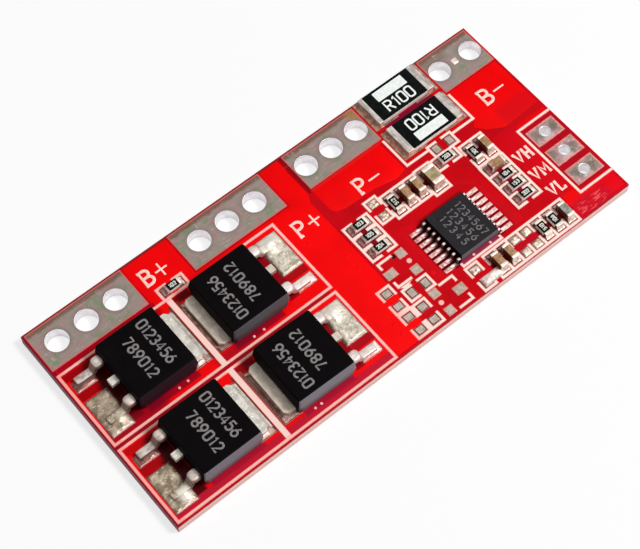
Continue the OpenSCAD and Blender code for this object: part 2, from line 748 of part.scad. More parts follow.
// Three sides around the front sense resistor, broken by the empty footprint that stands there
module sense_frame_2d() {
    x = sense_l / 2 + sense_toe + legend_room - legend_w / 2;
    y = sense_y[1] - sense_land_w / 2 - legend_w / 2 - legend_room;
    y_end = power_y - power_pad_w / 2 - legend_room;
    difference() {
        union() {
            for (s = [-1, 1]) line([sense_x + s * x, y], [sense_x + s * x, y_end]);
            line([sense_x - x, y], [sense_x + x, y]);
        }
        at(spare_places[4]) square(2 * chip_frame, center = true);
    }
}

// The bracket under the protection chip
module chip_bracket_2d() {
    leg = 0.25;
    x = ic_w / 2;
    y = ic_place[1] - ic_l / 2 - legend_room;
    line([ic_place[0] - x, y], [ic_place[0] + x, y]);
    for (s = [-1, 1]) line([ic_place[0] + s * x, y], [ic_place[0] + s * x, y + leg]);
}

module legend() {
    color(ink) translate([0, 0, top]) linear_extrude(legend_t) {
        for (x = fet_cell_x) for (y = fet_cell_y)
            frame_2d([x, y], [x + fet_cell_l, y + fet_cell_w]);
        for (p = small_places) at(p) chip_frame_2d(chip_frame);
        at(big_chip_place) chip_frame_2d(big_frame);
        sense_frame_2d();
        chip_bracket_2d();
        tap_frame_2d();
        for (p = sot_at) at(board_place(p)) sot_marks_2d();
        at(board_place(led_at)) arrow_2d();
    }
}

module tap_frame_2d() {
    x0 = tap_x - tap_pad_l / 2 - tap_frame_gap + legend_w;
    y0 = tap_y[0] - tap_pad_w / 2 - tap_frame_gap;
    y1 = tap_y[2] + tap_pad_w / 2 + tap_frame_gap;
    line([x0, y0], [x0, y1]);
    for (y = [y0, y1]) line([x0, y], [right - legend_w / 2, y]);
}

board();
legend();
plated_pad(b_plus);  // b_plus_pad
plated_pad(p_plus);  // p_plus_pad
plated_pad(p_minus);  // p_minus_pad
plated_pad(b_minus);  // b_minus_pad
for (pad = taps) plated_pad(pad);  // tap_pads
transistor_lands();
sense_lands();
protection_chip_lands();
chip_lands();
spare_lands();
for (k = [1:fet_count]) {
    transistor_body(k - 1);
    transistor_tab(k - 1);
    transistor_leads(k - 1);
}
for (k = [1:sense_count]) {
    sense_resistor_body(k - 1);
    sense_resistor_ends(k - 1);
}
protection_chip_body();
protection_chip_leads();
for (k = [1:resistor_count]) chip_resistor(k - 1);
for (k = [1:capacitor_count]) chip_capacitor(k - 1);
resistor_ends();
capacitor_ends();
transistor_solder();
sense_solder();
protection_chip_solder();
chip_solder();
loose_solder();
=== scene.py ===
import math

import bmesh
import bpy
from mathutils import Matrix, Vector, noise


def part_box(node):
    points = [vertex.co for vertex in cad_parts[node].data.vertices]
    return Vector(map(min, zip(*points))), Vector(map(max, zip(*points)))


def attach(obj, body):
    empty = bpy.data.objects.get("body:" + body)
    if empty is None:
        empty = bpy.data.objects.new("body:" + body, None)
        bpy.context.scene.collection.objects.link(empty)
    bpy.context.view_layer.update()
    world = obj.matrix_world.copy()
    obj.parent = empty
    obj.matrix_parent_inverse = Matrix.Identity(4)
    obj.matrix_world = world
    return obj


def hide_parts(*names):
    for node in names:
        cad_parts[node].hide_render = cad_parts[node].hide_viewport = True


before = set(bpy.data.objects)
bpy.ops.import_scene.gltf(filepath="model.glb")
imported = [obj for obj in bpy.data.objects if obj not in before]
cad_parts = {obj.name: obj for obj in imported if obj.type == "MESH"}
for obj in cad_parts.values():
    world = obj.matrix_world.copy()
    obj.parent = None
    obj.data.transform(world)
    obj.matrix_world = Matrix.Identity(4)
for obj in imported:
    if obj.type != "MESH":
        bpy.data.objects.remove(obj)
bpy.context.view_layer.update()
mm = 0.001
print("frame loaded,", len(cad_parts), "solids")


# Places and sizes of the solids, in millimetres
def low(node):
    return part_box(node)[0] / mm


def high(node):
    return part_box(node)[1] / mm


def middle(node):
    return (low(node) + high(node)) / 2


def size(node):
    return high(node) - low(node)


def added(name, data):
    made = bpy.data.objects.new(name, data)
    bpy.context.scene.collection.objects.link(made)
    return made


boardTop = high("board").z
landTop = high("chip_lands").z
bodyName = "root"

# The camera: millimetres from the middle of the board's underside, and degrees
cameraView = {
    "place": (-45.98, -56.326, 134.54),
    "turn": (28.097, 0.519, -39.404),
    "lens": 98.95,
    "sensor": 36,
    "near": 10,
}


def makeCamera(view):
    data = bpy.data.cameras.new("camera")
    data.lens = view["lens"]
    data.sensor_width = view["sensor"]
    data.clip_start = view["near"] * mm
    made = added("camera", data)
    made.location = Vector(view["place"]) * mm
    made.rotation_euler = [math.radians(angle) for angle in view["turn"]]
    bpy.context.scene.camera = made


makeCamera(cameraView)
print("camera placed")


# A colour from a colour card, 0 to 255, in Blender's linear light
def rgb(red, green, blue):
    parts = []
    for c in (red / 255, green / 255, blue / 255):
        parts.append(c / 12.92 if c <= 0.04045 else ((c + 0.055) / 1.055) ** 2.4)
    return (*parts, 1)


# A socket that sums can be written with
class Value:
    def __init__(self, nodes, socket):
        self.nodes = nodes
        self.socket = socket

    def __add__(self, other):
        return self.nodes.maths("ADD", self, other)

    def __sub__(self, other):
        return self.nodes.maths("SUBTRACT", self, other)

    def __rsub__(self, other):
        return self.nodes.maths("SUBTRACT", other, self)

    def __mul__(self, other):
        return self.nodes.maths("MULTIPLY", self, other)

    __radd__ = __add__
    __rmul__ = __mul__

    # 0 before start, 1 past end, an easy slope between
    def rises(self, start, end):
        return self.nodes.read("ShaderNodeMapRange", {"interpolation_type": "SMOOTHSTEP"},
                               {"Value": self, "From Min": start, "From Max": end})


class Nodes:
    def __init__(self, tree):
        self.tree = tree
        tree.nodes.clear()

    def node(self, kind, settings=None, inputs=None):
        made = self.tree.nodes.new(kind)
        for name, value in (settings or {}).items():
            setattr(made, name, value)
        for name, value in (inputs or {}).items():
            if isinstance(value, Value):
                value = value.socket
            if isinstance(value, bpy.types.NodeSocket):
                self.tree.links.new(value, made.inputs[name])
            else:
                made.inputs[name].default_value = value
        return made

    def read(self, kind, settings=None, inputs=None, out=0):
        return Value(self, self.node(kind, settings, inputs).outputs[out])

    def maths(self, operation, *values):
        return self.read("ShaderNodeMath", {"operation": operation}, dict(enumerate(values)))

    def vectors(self, operation, *values):
        return self.read("ShaderNodeVectorMath", {"operation": operation}, dict(enumerate(values)))

    # 1 to the eye, in mirrors and through glass, 0 for the light that falls on things
    def seen(self):
        path = self.node("ShaderNodeLightPath").outputs
        either = self.maths("MAXIMUM", path["Is Camera Ray"], path["Is Glossy Ray"])
        return self.maths("MAXIMUM", either, path["Is Transmission Ray"])


tinMetallic = 0.35  # tin, solder and leads are dull with flux


# A material whose own sockets are dressed with values
class Finish(Nodes):
    def __init__(self, name, plain):
        self.material = bpy.data.materials.new(name)
        self.material.use_nodes = True
        super().__init__(self.material.node_tree)
        self.shader = self.node("ShaderNodeBsdfPrincipled", {}, plain)
        self.node("ShaderNodeOutputMaterial", {}, {"Surface": self.shader.outputs[0]})
        where = self.node("ShaderNodeTexCoord")
        self.at = self.read("ShaderNodeVectorMath", {"operation": "SCALE"},
                            {0: where.outputs["Object"], "Scale": 1 / mm})
        self.facing = where.outputs["Normal"]

    # Each colour is a Value, or a triple as on a colour card
    def mix(self, share, first, second):
        first, second = (c if isinstance(c, Value) else rgb(*c) for c in (first, second))
        return self.read("ShaderNodeMix", {"data_type": "RGBA"}, {0: share, 6: first, 7: second}, 2)

    # Grains of about the given size in millimetres, stretched along x, y and z
    def grains(self, grain, detail=2, stretch=(1, 1, 1), shift=0):
        scaled = self.read("ShaderNodeMapping", {}, {
            "Vector": self.at, "Location": (shift, shift, shift),
            "Scale": tuple(1 / (grain * s) for s in stretch)})
        return self.read("ShaderNodeTexNoise", {}, {"Vector": scaled, "Scale": 1, "Detail": detail})

    def along(self, axis, vector=None):
        return self.read("ShaderNodeSeparateXYZ", {}, {0: vector or self.at}, "XYZ".index(axis))

    # 1 inside a field of the board, fading out over the soft strip round it
    def field(self, x, y, soft):
        middleAt = ((x[0] + x[1]) / 2, (y[0] + y[1]) / 2, 0)
        half = ((x[1] - x[0]) / 2, (y[1] - y[0]) / 2, 100)
        aside = self.vectors("ABSOLUTE", self.vectors("SUBTRACT", self.at, middleAt))
        past = self.vectors("MAXIMUM", self.vectors("SUBTRACT", aside, half), (0, 0, 0))
        far = self.read("ShaderNodeVectorMath", {"operation": "LENGTH"}, {0: past}, "Value")
        return far.rises(soft, 0)

    # 1 on faces that look away from the light
    def away(self):
        return self.along("X", self.facing).rises(-0.25, -0.7)

    # Painted reflection: front faces of bare metal are painted pale and made more metallic, as if they
    # mirrored the pale surroundings
    def paintFrontReflection(self):
        front = self.along("Y", self.facing).rises(-0.3, -0.8)
        bright = self.mix(front * 0.8, self.tone(), (246, 232, 226))
        self.dress(Base_Color=bright, Metallic=tinMetallic + front * 0.6)

    def dress(self, **links):
        for name, value in links.items():
            socket = self.shader.inputs[name.replace("_", " ")]
            if isinstance(value, Value):
                self.tree.links.new(value.socket, socket)
            else:
                socket.default_value = value

    def tone(self):
        return Value(self, self.shader.inputs["Base Color"].links[0].from_socket)

    # Lays a colour over the tone inside a field
    def shade(self, x, y, soft, colour, share):
        self.dress(Base_Color=self.mix(self.field(x, y, soft) * share, self.tone(), colour))

    # Relief over the surface, depth in millimetres from 0 to 1 of the height
    def relief(self, height, depth):
        self.dress(Normal=self.read("ShaderNodeBump", {}, {"Height": height, "Distance": depth * mm}))


# Painted shade on the mask round and between parts, and some patches of the mask's own darker or paler tone:
# x span, y span, soft edge, colour and share
maskPaintedShadeAndTone = [
    ((7.75, 8.45), (-7.5, -2.4), 0.2, (34, 0, 6), 0.95),
    ((6.7, 7.6), (-7.4, -2.6), 0.15, (66, 0, 10), 0.95),
    ((12.8, 13.3), (-7.5, -2.5), 0.2, (40, 2, 10), 0.9),
    ((13.4, 14.3), (-7.4, -2.6), 0.15, (120, 6, 24), 0.8),
    ((8.4, 12.9), (-2.4, -2.2), 0.45, (90, 0, 12), 0.8),
    ((8.4, 12.6), (-7.9, -7.3), 0.1, (146, 50, 82), 0.9),
    ((-22.3, -21.3), (-1.2, 5.3), 0.35, (40, 0, 4), 0.95),
    ((-22.3, -21.3), (-9.8, -3.3), 0.35, (40, 0, 4), 0.95),
    ((-22.2, -14.6), (5.3, 5.5), 0.5, (150, 0, 10), 0.7),
    ((7.2, 12.9), (-0.4, 1.7), 0.12, (86, 4, 18), 0.85),
    ((2.8, 5.0), (-2.3, 1.3), 0.12, (104, 6, 30), 0.85),
    ((16.0, 18.4), (-6.4, 1.1), 0.12, (112, 8, 40), 0.85),
    ((10.2, 12.7), (-10.5, -8.5), 0.12, (96, 6, 16), 0.85),
    ((12.9, 15.3), (-9.8, -9.2), 0.15, (190, 10, 34), 0.7),
    ((15.5, 19.1), (-10.5, -8.5), 0.12, (110, 8, 22), 0.85),
    ((12.4, 17.8), (6.85, 7.45), 0.12, (112, 8, 44), 0.9),
    ((19.6, 23.0), (-10.9, -9.6), 0.8, (190, 12, 38), 0.75),
    ((-24.4, -2.0), (-10.6, -10.0), 0.2, (182, 22, 48), 0.85),
    ((-24.4, -19.5), (-1.95, -1.2), 1.2, (140, 6, 28), 0.8),
    ((-13.2, -9.5), (-1.95, -1.5), 1.0, (150, 8, 30), 0.7),
    ((-24.4, -22.0), (5.1, 5.5), 0.3, (130, 0, 12), 0.8),
    ((-24.4, -22.0), (-3.5, -3.1), 0.25, (150, 4, 12), 0.6),
    ((-24.4, -22.4), (2.75, 3.5), 0.15, (140, 0, 10), 0.8),
    ((-24.4, -22.4), (-5.95, -5.1), 0.15, (140, 0, 10), 0.8),
    ((-20.5, -15.5), (-1.5, -1.1), 0.25, (120, 6, 34), 0.75),
    ((-11.4, -6.5), (-1.6, -1.2), 0.25, (120, 6, 34), 0.8),
    ((-20.5, -15.2), (-9.95, -9.6), 0.25, (150, 14, 48), 0.75),
    ((-10.8, -5.8), (-10.0, -9.6), 0.25, (150, 14, 48), 0.8),
    ((-5.2, -4.3), (-0.9, 5.0), 0.15, (116, 0, 18), 0.85),
    ((-5.0, -4.2), (-9.5, -3.5), 0.15, (116, 0, 18), 0.85),
    ((-4.2, -2.2), (0.5, 1.2), 0.12, (140, 8, 16), 0.8),
    ((-4.0, -2.0), (-8.1, -7.4), 0.12, (140, 8, 26), 0.8),
    ((-12.9, -11.5), (5.1, 5.6), 0.2, (86, 0, 10), 0.85),
    ((-12.9, -11.3), (-3.6, -3.0), 0.2, (110, 4, 18), 0.8),
    ((-13.72, -13.5), (-1.0, 5.2), 0.1, (96, 44, 38), 0.9),
    ((-13.72, -13.5), (-9.6, -3.4), 0.1, (96, 44, 38), 0.9),
    ((-13.0, -12.7), (-1.0, 5.2), 0.06, (112, 52, 44), 0.85),
    ((-13.0, -12.7), (-9.6, -3.4), 0.06, (134, 80, 68), 0.85),
    ((-25.0, -24.6), (-11.0, 11.0), 0.08, (132, 6, 36), 0.85),
    ((-24.4, -14.5), (5.75, 6.4), 0.15, (150, 2, 30), 0.75),
    ((23.4, 24.8), (-10.7, -9.2), 0.6, (214, 6, 30), 0.6),
    ((19.2, 21.2), (-7.9, 0.0), 0.5, (206, 4, 24), 0.85),
    ((21.4, 24.8), (0.2, 2.0), 0.9, (206, 8, 20), 0.65),
    ((-25.0, 25.0), (10.78, 11.0), 0.05, (128, 34, 34), 0.85),
    ((2.8, 3.0), (6.4, 10.7), 0.3, (126, 0, 10), 0.8),
    ((-25.0, -24.86), (-11.0, 11.0), 0.04, (150, 14, 34), 0.75),
    ((-24.8, -2.2), (-2.5, -2.3), 0.12, (150, 10, 26), 0.85),
    ((21.4, 24.8), (-8.6, -0.9), 0.1, (168, 8, 34), 0.6),
    ((3.0, 11.2), (6.3, 6.5), 0.08, (214, 40, 36), 0.6),
]


def maskFinish(name, dark, bright):
    made = Finish(name, {"Specular IOR Level": 0.05})
    cloud = made.grains(3.1, 3).rises(0.3, 0.7)
    speck = made.grains(0.22, 3)
    colour = made.mix(cloud, dark, bright)
    # Lays on the painted shade and the tone patches, one field each
    for x, y, soft, tone, share in maskPaintedShadeAndTone:
        colour = made.mix(made.field(x, y, soft) * share, colour, tone)
    rubs = made.grains(0.2, 3, (4, 1, 1)).rises(0.5, 0.6) * made.field((19.9, 22.6), (-10.6, -9.8), 0.3)
    colour = made.mix(rubs * 0.7, colour, (246, 96, 100))
    edge = made.maths("ABSOLUTE", made.along("Z", made.facing)).rises(0.75, 0.5)
    weave = made.along("Z").rises(0.35, 0.9) * 0.5 + made.grains(0.3, 2, (3, 3, 0.5)) * 0.5
    laminate = made.mix(weave, (228, 178, 170), (248, 208, 202))
    laminate = made.mix(made.along("Z").rises(0.94, 1.06), laminate, (140, 18, 34))
    # Painted shade on the board's sides that look away from the light
    laminate = made.mix(made.away(), laminate, (124, 16, 44))
    made.dress(Base_Color=made.mix(edge, colour, laminate), Roughness=0.3 + speck * 0.2)
    made.relief(speck + made.grains(1.4, 2) * 2, 0.006)
    return made


# Pads: middle of the row of holes, their number and their pitch
pads = {
    "b_plus_pad": (-19.775, 3, 3.05),
    "p_plus_pad": (-4.65, 3, 3.05),
    "p_minus_pad": (7.15, 3, 2.88),
    "b_minus_pad": (21.875, 2, 3.65),
    "holeRow": 8.7,
    "holeRadius": 1.05,
    "lip": 0.13,
    "halo": 1.6,
    "taps": [(23.03, -7.3), (23.03, -4.76), (23.03, -2.22)],
    "tapHoleRadius": 0.525,
    "tapRim": 0.15,
    "soft": 0.02,
    "landReach": (0.7, 0.55),
    "lippedLands": [(2.95, -4.43), (4.95, -3.4), (4.95, -5.46), (4.6, -8.22), (4.6, -10.27), (6.6, -9.25)],
}
bigPads = ("b_plus_pad", "p_plus_pad", "p_minus_pad", "b_minus_pad")


def padHoles(pad):
    x, count, pitch = pads[pad]
    return [(x + (k - (count - 1) / 2) * pitch, pads["holeRow"]) for k in range(count)]


# Tin on the big pads: blotched greys, brushed both ways, darker round the holes, a red lip round each pad
def padFinish(name, grey, green, mauve, brown, lipTone):
    made = Finish(name, {"Metallic": tinMetallic})
    blotch = made.grains(0.85, 3)
    brush = made.grains(0.16, 3, (7, 1, 1))
    crossBrush = made.grains(0.13, 2, (1, 9, 1), 40)
    tone = made.mix(blotch.rises(0.5, 0.66), grey, green)
    tone = made.mix(made.grains(0.7, 3, shift=17).rises(0.5, 0.64), tone, mauve)
    tarnish = (made.along("Y").rises(9.9, 10.6) * 0.7 + made.grains(0.5, 3, shift=9) * 0.7).rises(0.5, 1.0)
    tone = made.mix(tarnish, tone, brown)
    tone = made.mix(made.field((10.7, 11.3), (9.9, 10.7), 0.9) * 0.85, tone, (150, 106, 52))
    tone = made.mix(made.field((18.9, 21.2), (9.9, 10.8), 0.9) * (1 - brush), tone, (112, 84, 70))
    tone = made.mix((brush * 0.6 + crossBrush * 0.4).rises(0.56, 0.7) * 0.45, tone, (196, 186, 178))
    tone = made.mix((1 - brush).rises(0.56, 0.74) * 0.4, tone, (104, 90, 82))
    halo = sum(made.field((x, x), (y, y), pads["halo"]) for pad in bigPads for x, y in padHoles(pad))
    tone = made.mix(halo * 2.4, tone, (112, 94, 88))
    lip = pads["lip"]
    inner = sum(made.field((low(pad).x + lip, high(pad).x - lip), (low(pad).y + lip, high(pad).y - lip), 0.04)
                for pad in bigPads)
    tone = made.mix((1 - inner) * 0.85, tone, lipTone)
    made.dress(Base_Color=tone, Roughness=0.4 + blotch * 0.2)
    made.relief(brush * 0.6 + blotch * 1.2 + crossBrush * 0.4, 0.012)
    return made


# Solder or tinned metal: two tones in lumps, with small bright flecks
def solderFinish(name, dull, bright, fleck, grain=0.4, rough=0.32):
    made = Finish(name, {"Metallic": tinMetallic})
    lump = made.grains(grain, 3)
    crumb = made.grains(grain * 0.3, 3, shift=5)
    tone = made.mix((lump * 0.75 + crumb * 0.25).rises(0.4, 0.6), dull, bright)
    tone = made.mix(crumb.rises(0.62, 0.7), tone, fleck)
    made.dress(Base_Color=tone, Roughness=rough + lump * 0.2)
    made.relief(lump + crumb * 0.5, 0.02)
    return made


# Metal, with painted shade down its slopes and on its side away from the light where those colours are given
def leadFinish(name, colour, worn, rough=0.35, stretch=(3, 1, 3), slope=None, shadedSide=None):
    made = Finish(name, {"Metallic": tinMetallic})
    streak = made.grains(0.22, 3, stretch)
    blot = made.grains(0.7, 2)
    tone = made.mix((streak * 0.5 + blot * 0.5).rises(0.38, 0.62), colour, worn)
    if slope:
        tone = made.mix(made.along("Z", made.facing).rises(0.85, 0.55), tone, slope)
    if shadedSide:
        tone = made.mix(made.away(), tone, shadedSide)
    made.dress(Base_Color=tone, Roughness=rough + streak * 0.2)
    made.relief(streak + blot, 0.008)
    return made


# Moulding compound with painted light and shade on its sides: fronts painted lighter, from the shaded tone of
# the back row to the lit tone of the front row, and the other sides a painted shade colour
def mouldFinish(name, top, cloudy, shadedSide, backRowShaded, frontRowLit, rough):
    made = Finish(name, {"Specular IOR Level": 0.02})
    grit = made.grains(0.07, 2)
    cloud = made.grains(1.8, 3)
    upright = made.maths("ABSOLUTE", made.along("Z", made.facing)).rises(0.85, 0.5)
    forward = made.along("Y", made.facing).rises(-0.35, -0.8)
    front = made.mix(made.along("Y").rises(-2, -7), backRowShaded, frontRowLit)
    # Painted light: the fronts are paler to the right
    front = made.mix(made.along("X").rises(-16, -9) * 0.55, front, (132, 132, 136))
    # Painted reflection of the red board low on the fronts
    front = made.mix(made.along("Z").rises(2.3, 1.3) * 0.6, front, (112, 26, 48))
    side = made.mix(forward, shadedSide, front)
    tone = made.mix(cloud * 0.5, top, cloudy)
    made.dress(Base_Color=made.mix(upright, tone, side), Roughness=rough + grit * 0.2)
    made.relief(grit + cloud * 0.5, 0.008)
    return made


# A side colour, when given, is painted shade on the faces that look away from the light
def plainFinish(name, colour, other, rough, grain=0.25, depth=0.006, shine=0.5, shadedSide=None):
    made = Finish(name, {"Specular IOR Level": shine})
    blot = made.grains(grain, 3)
    tone = made.mix(blot.rises(0.35, 0.65), colour, other)
    if shadedSide:
        tone = made.mix(made.away(), tone, shadedSide)
    made.dress(Base_Color=tone, Roughness=rough + blot * 0.15)
    made.relief(blot, depth)
    return made


def ceramicFinish(name, colour, other, shadedSide, grain=0.3):
    return plainFinish(name, colour, other, 0.45, grain, 0.008, 0.1, shadedSide)


# Printed ink, pinker over the left frames than over the small parts
def inkFinish(name, pink, cream):
    made = Finish(name, {"Specular IOR Level": 0.2})
    blot = made.grains(0.35, 3)
    tone = made.mix(made.along("X").rises(0.5, 2.6) * 0.8 + blot * 0.3, pink, cream)
    made.dress(Base_Color=tone, Roughness=0.6 + blot * 0.15)
    made.relief(blot, 0.004)
    return made


maskOverGlass = maskFinish("mask_over_glass", (186, 3, 16), (204, 5, 18))
maskOverCopper = maskFinish("mask_over_copper", (236, 3, 6), (248, 4, 8))
maskOverInnerCopper = maskFinish("mask_over_inner_copper", (196, 4, 16), (210, 6, 22))
padTin = padFinish("pad_tin", (138, 125, 116), (114, 124, 98), (150, 118, 117), (108, 74, 62),
                   (196, 94, 88))
barrelTin = leadFinish("barrel_tin", (224, 218, 222), (240, 236, 238), 0.22)
barrelTin.dress(Metallic=0.9)
tapTin = solderFinish("tap_tin", (116, 110, 94), (172, 134, 136), (222, 196, 192), 0.9)
for x, y in pads["taps"]:  # dull at both ends, bright under the hole
    tapTin.shade((x - 1.1, x - 0.9), (y + 0.1, y + 0.5), 0.35, (88, 84, 72), 0.6)
    tapTin.shade((x + 0.85, x + 1.05), (y - 0.3, y + 0.1), 0.4, (88, 84, 72), 0.6)
    tapTin.shade((x - 0.5, x + 0.3), (y - 0.7, y - 0.6), 0.3, (214, 190, 188), 0.5)
landTin = solderFinish("land_tin", (140, 104, 98), (196, 160, 150), (226, 206, 196), 0.35)
chipLandTin = solderFinish("chip_land_tin", (176, 96, 94), (238, 172, 168), (255, 224, 218), 0.3)
spareTin = solderFinish("spare_tin", (148, 146, 124), (186, 160, 154), (222, 214, 204), 0.38)
landEdge = plainFinish("land_edge", (64, 10, 28), (92, 18, 34), 0.6, 0.3, 0.004, 0.1)
landLip = plainFinish("land_lip", (232, 150, 140), (216, 122, 114), 0.5, 0.3, 0.004, 0.2)
senseLandTin = solderFinish("sense_land_tin", (124, 84, 66), (170, 124, 104), (200, 170, 152), 0.5)
dullSolder = solderFinish("dull_solder", (122, 108, 84), (180, 162, 142), (232, 222, 206), 0.6, 0.36)
dullSolder.shade((-23.2, -22.2), (-9.5, -8.9), 0.5, (226, 220, 208), 0.75)
dullSolder.shade((-23.8, -21.6), (0.3, 3.0), 0.4, (116, 102, 80), 0.4)
dullSolder.shade((-23.0, -22.0), (-0.7, -0.2), 0.4, (216, 206, 190), 0.4)
brightSolder = solderFinish("bright_solder", (156, 152, 130), (206, 192, 178), (246, 240, 232), 0.5)
brightSolder.shade((-4.2, -2.5), (4.2, 5.2), 0.45, (230, 224, 212), 0.75)
brightSolder.shade((-4.2, -2.5), (-4.4, -3.4), 0.45, (230, 224, 212), 0.75)
gateSolder = solderFinish("gate_solder", (82, 42, 36), (126, 84, 74), (184, 142, 132), 0.5)
rimSolder = solderFinish("rim_solder", (238, 196, 184), (255, 236, 222), (255, 250, 240), 0.4)
paleGateSolder = solderFinish("pale_gate_solder", (206, 176, 168), (242, 222, 214), (255, 248, 244), 0.4)
pinkRimSolder = solderFinish("pink_rim_solder", (236, 158, 148), (252, 200, 190), (255, 222, 214), 0.4)
tabEdgeSolder = solderFinish("tab_edge_solder", (112, 78, 66), (158, 128, 112), (200, 178, 162), 0.5)
tabEdgeSolder.shade((-13.6, -12.9), (-9.6, -3.4), 0.1, (204, 180, 166), 0.85)
# Painted shade: a dark line along the outer edge of the turned transistors' tab solder
tabEdgeSolder.shade((-12.72, -12.55), (-9.6, 5.4), 0.06, (66, 36, 30), 0.7)
filletSolder = solderFinish("fillet_solder", (184, 160, 146), (242, 224, 210), (255, 246, 234), 0.25)
shadedSolder = solderFinish("shaded_solder", (136, 96, 92), (196, 160, 150), (222, 206, 192), 0.25)
speckledSolder = solderFinish("speckled_solder", (142, 112, 86), (226, 206, 188), (255, 250, 242), 0.3)
# Each slope colour is painted shade down the bends of the leads
leadMetal = leadFinish("lead_metal", (150, 138, 132), (204, 190, 182), slope=(136, 112, 100))
kneeMetal = leadFinish("knee_metal", (168, 154, 146), (212, 198, 188), slope=(132, 108, 98))
stubMetal = leadFinish("stub_metal", (164, 134, 122), (196, 168, 156), slope=(112, 72, 62))
paleLeadMetal = leadFinish("pale_lead_metal", (194, 180, 174), (226, 214, 208), slope=(206, 188, 178))
chipLeadMetal = leadFinish("chip_lead_metal", (230, 194, 188), (255, 234, 228), 0.3, slope=(58, 16, 18))
# Painted shade in the gap between the chip's left leads and their lands, and painted light on the lands to
# the right
chipLeadMetal.shade((7.72, 8.02), (-7.6, -2.4), 0.07, (96, 44, 38), 0.75)
chipLandTin.shade((7.66, 8.1), (-7.6, -2.4), 0.07, (70, 22, 22), 0.9)
chipLandTin.shade((13.6, 15.2), (-7.6, -2.4), 0.1, (238, 204, 196), 0.5)
# The last colour of these ends is painted shade on their sides away from the light
paleEndMetal = leadFinish("pale_end_metal", (206, 190, 174), (248, 234, 220), shadedSide=(92, 50, 36))
shadedEndMetal = leadFinish("shaded_end_metal", (126, 94, 88), (178, 148, 138), shadedSide=(84, 44, 36))
senseEndMetal = leadFinish("sense_end_metal", (158, 150, 144), (204, 196, 188), 0.35, (1, 4, 3))
# The ends' fronts get a painted reflection
for ends in (senseEndMetal, paleEndMetal, shadedEndMetal):
    ends.paintFrontReflection()
tabCovered = solderFinish("tab_covered", (182, 176, 166), (214, 208, 198), (246, 242, 234), 0.6)
tabBare = leadFinish("tab_bare", (180, 168, 154), (214, 198, 182), 0.42, (1, 3, 3))
transistorMould = mouldFinish("transistor_mould", (4, 3, 4), (20, 16, 18), (8, 5, 7), (52, 34, 42),
                              (126, 118, 126), 0.42)
chipMould = mouldFinish("chip_mould", (38, 36, 38), (58, 56, 58), (10, 6, 8), (70, 60, 68),
                        (66, 54, 64), 0.5)
etchedMark = plainFinish("etched_mark", (122, 118, 118), (142, 138, 136), 0.7, 0.12, 0.004, 0.1)
faintMark = plainFinish("faint_mark", (98, 96, 98), (126, 124, 124), 0.7, 0.12, 0.004, 0.1)
resistorCoat = plainFinish("resistor_coat", (3, 6, 5), (14, 16, 15), 0.4, 0.5, 0.006, 0.04)
whiteCeramic = plainFinish("white_ceramic", (246, 240, 232), (255, 252, 248), 0.5, 0.3)
whitePrint = plainFinish("white_print", (232, 238, 234), (246, 248, 246), 0.6, 0.3)
smallPrint = plainFinish("small_print", (196, 200, 190), (222, 222, 212), 0.6, 0.3)
# The third colour of each ceramic is painted shade on its side away from the light
tanCeramic = ceramicFinish("tan_ceramic", (154, 116, 84), (184, 146, 110), (92, 36, 10))
greenCeramic = ceramicFinish("green_ceramic", (148, 132, 98), (182, 166, 130), (92, 40, 14), 0.4)
greyCeramic = ceramicFinish("grey_ceramic", (122, 118, 110), (166, 168, 158), (84, 44, 30))
legendInk = inkFinish("legend_ink", (252, 182, 174), (255, 228, 218))
legendInk.shade((-25.0, -24.1), (-11.0, 6.0), 0.1, (255, 156, 150), 0.7)
legendInk.shade((-13.6, -12.9), (-10.4, 5.6), 0.1, (252, 220, 210), 0.8)
legendInk.shade((4.4, 5.3), (-4.8, -4.0), 0.1, (252, 184, 178), 0.9)
legendInk.shade((4.2, 4.8), (-9.6, -8.9), 0.1, (252, 184, 178), 0.9)
letterInk = plainFinish("letter_ink", (252, 204, 192), (255, 226, 214), 0.6, 0.35, 0.004, 0.2)
dotTin = plainFinish("dot_tin", (248, 176, 170), (255, 206, 200), 0.5, 0.3, 0.004, 0.3)
inkEdge = plainFinish("ink_edge", (232, 108, 100), (240, 140, 130), 0.6, 0.35, 0.004, 0.2)
print("finishes made")


# Shapes are drawn in millimetres and settled in metres
def place(x, y, z=0.0, turn=0.0):
    return Matrix.Translation((x, y, z)) @ Matrix.Rotation(math.radians(turn), 4, "Z")


def roundedRing(halfX, halfY, radius, z):
    ring = []
    steps, least = 4, 0.001
    radius = max(min(radius, halfX - least, halfY - least), least)
    for corner in range(4):
        cx = (halfX - radius) * (1, -1, -1, 1)[corner]
        cy = (halfY - radius) * (1, 1, -1, -1)[corner]
        for k in range(steps + 1):
            a = math.pi / 2 * (corner + k / steps)
            ring.append((cx + radius * math.cos(a), cy + radius * math.sin(a), z))
    return ring


def loft(shape, where, rings, finish=0):
    rows = [[shape.verts.new(where @ Vector(p)) for p in ring] for ring in rings]
    faces = [shape.faces.new(rows[0][::-1]), shape.faces.new(rows[-1])]
    for under, over in zip(rows, rows[1:]):
        for i in range(len(under)):
            j = (i + 1) % len(under)
            faces.append(shape.faces.new((under[i], under[j], over[j], over[i])))
    for face in faces:
        face.material_index = finish
    return faces


# Rounded shoulder of a profile: [inset, level] from the wall at wallInset up to the level
def shoulder(wallInset, level, radius, up=1, steps=3):
    points = []
    for k in range(steps + 1):
        a = math.pi / 2 * k / steps
        points.append((wallInset + radius * (1 - math.cos(a)), level - up * radius * (1 - math.sin(a))))
    return points if up > 0 else points[::-1]


def block(shape, where, dims, z, radius, corner=None, finish=0):
    profile = shoulder(0, z[0], radius, -1) + shoulder(0, z[1], radius)
    rings = [roundedRing(dims[0] / 2 - inset, dims[1] / 2 - inset, (corner or radius) - inset * 0.5, level)
             for inset, level in profile]
    return loft(shape, where, rings, finish)


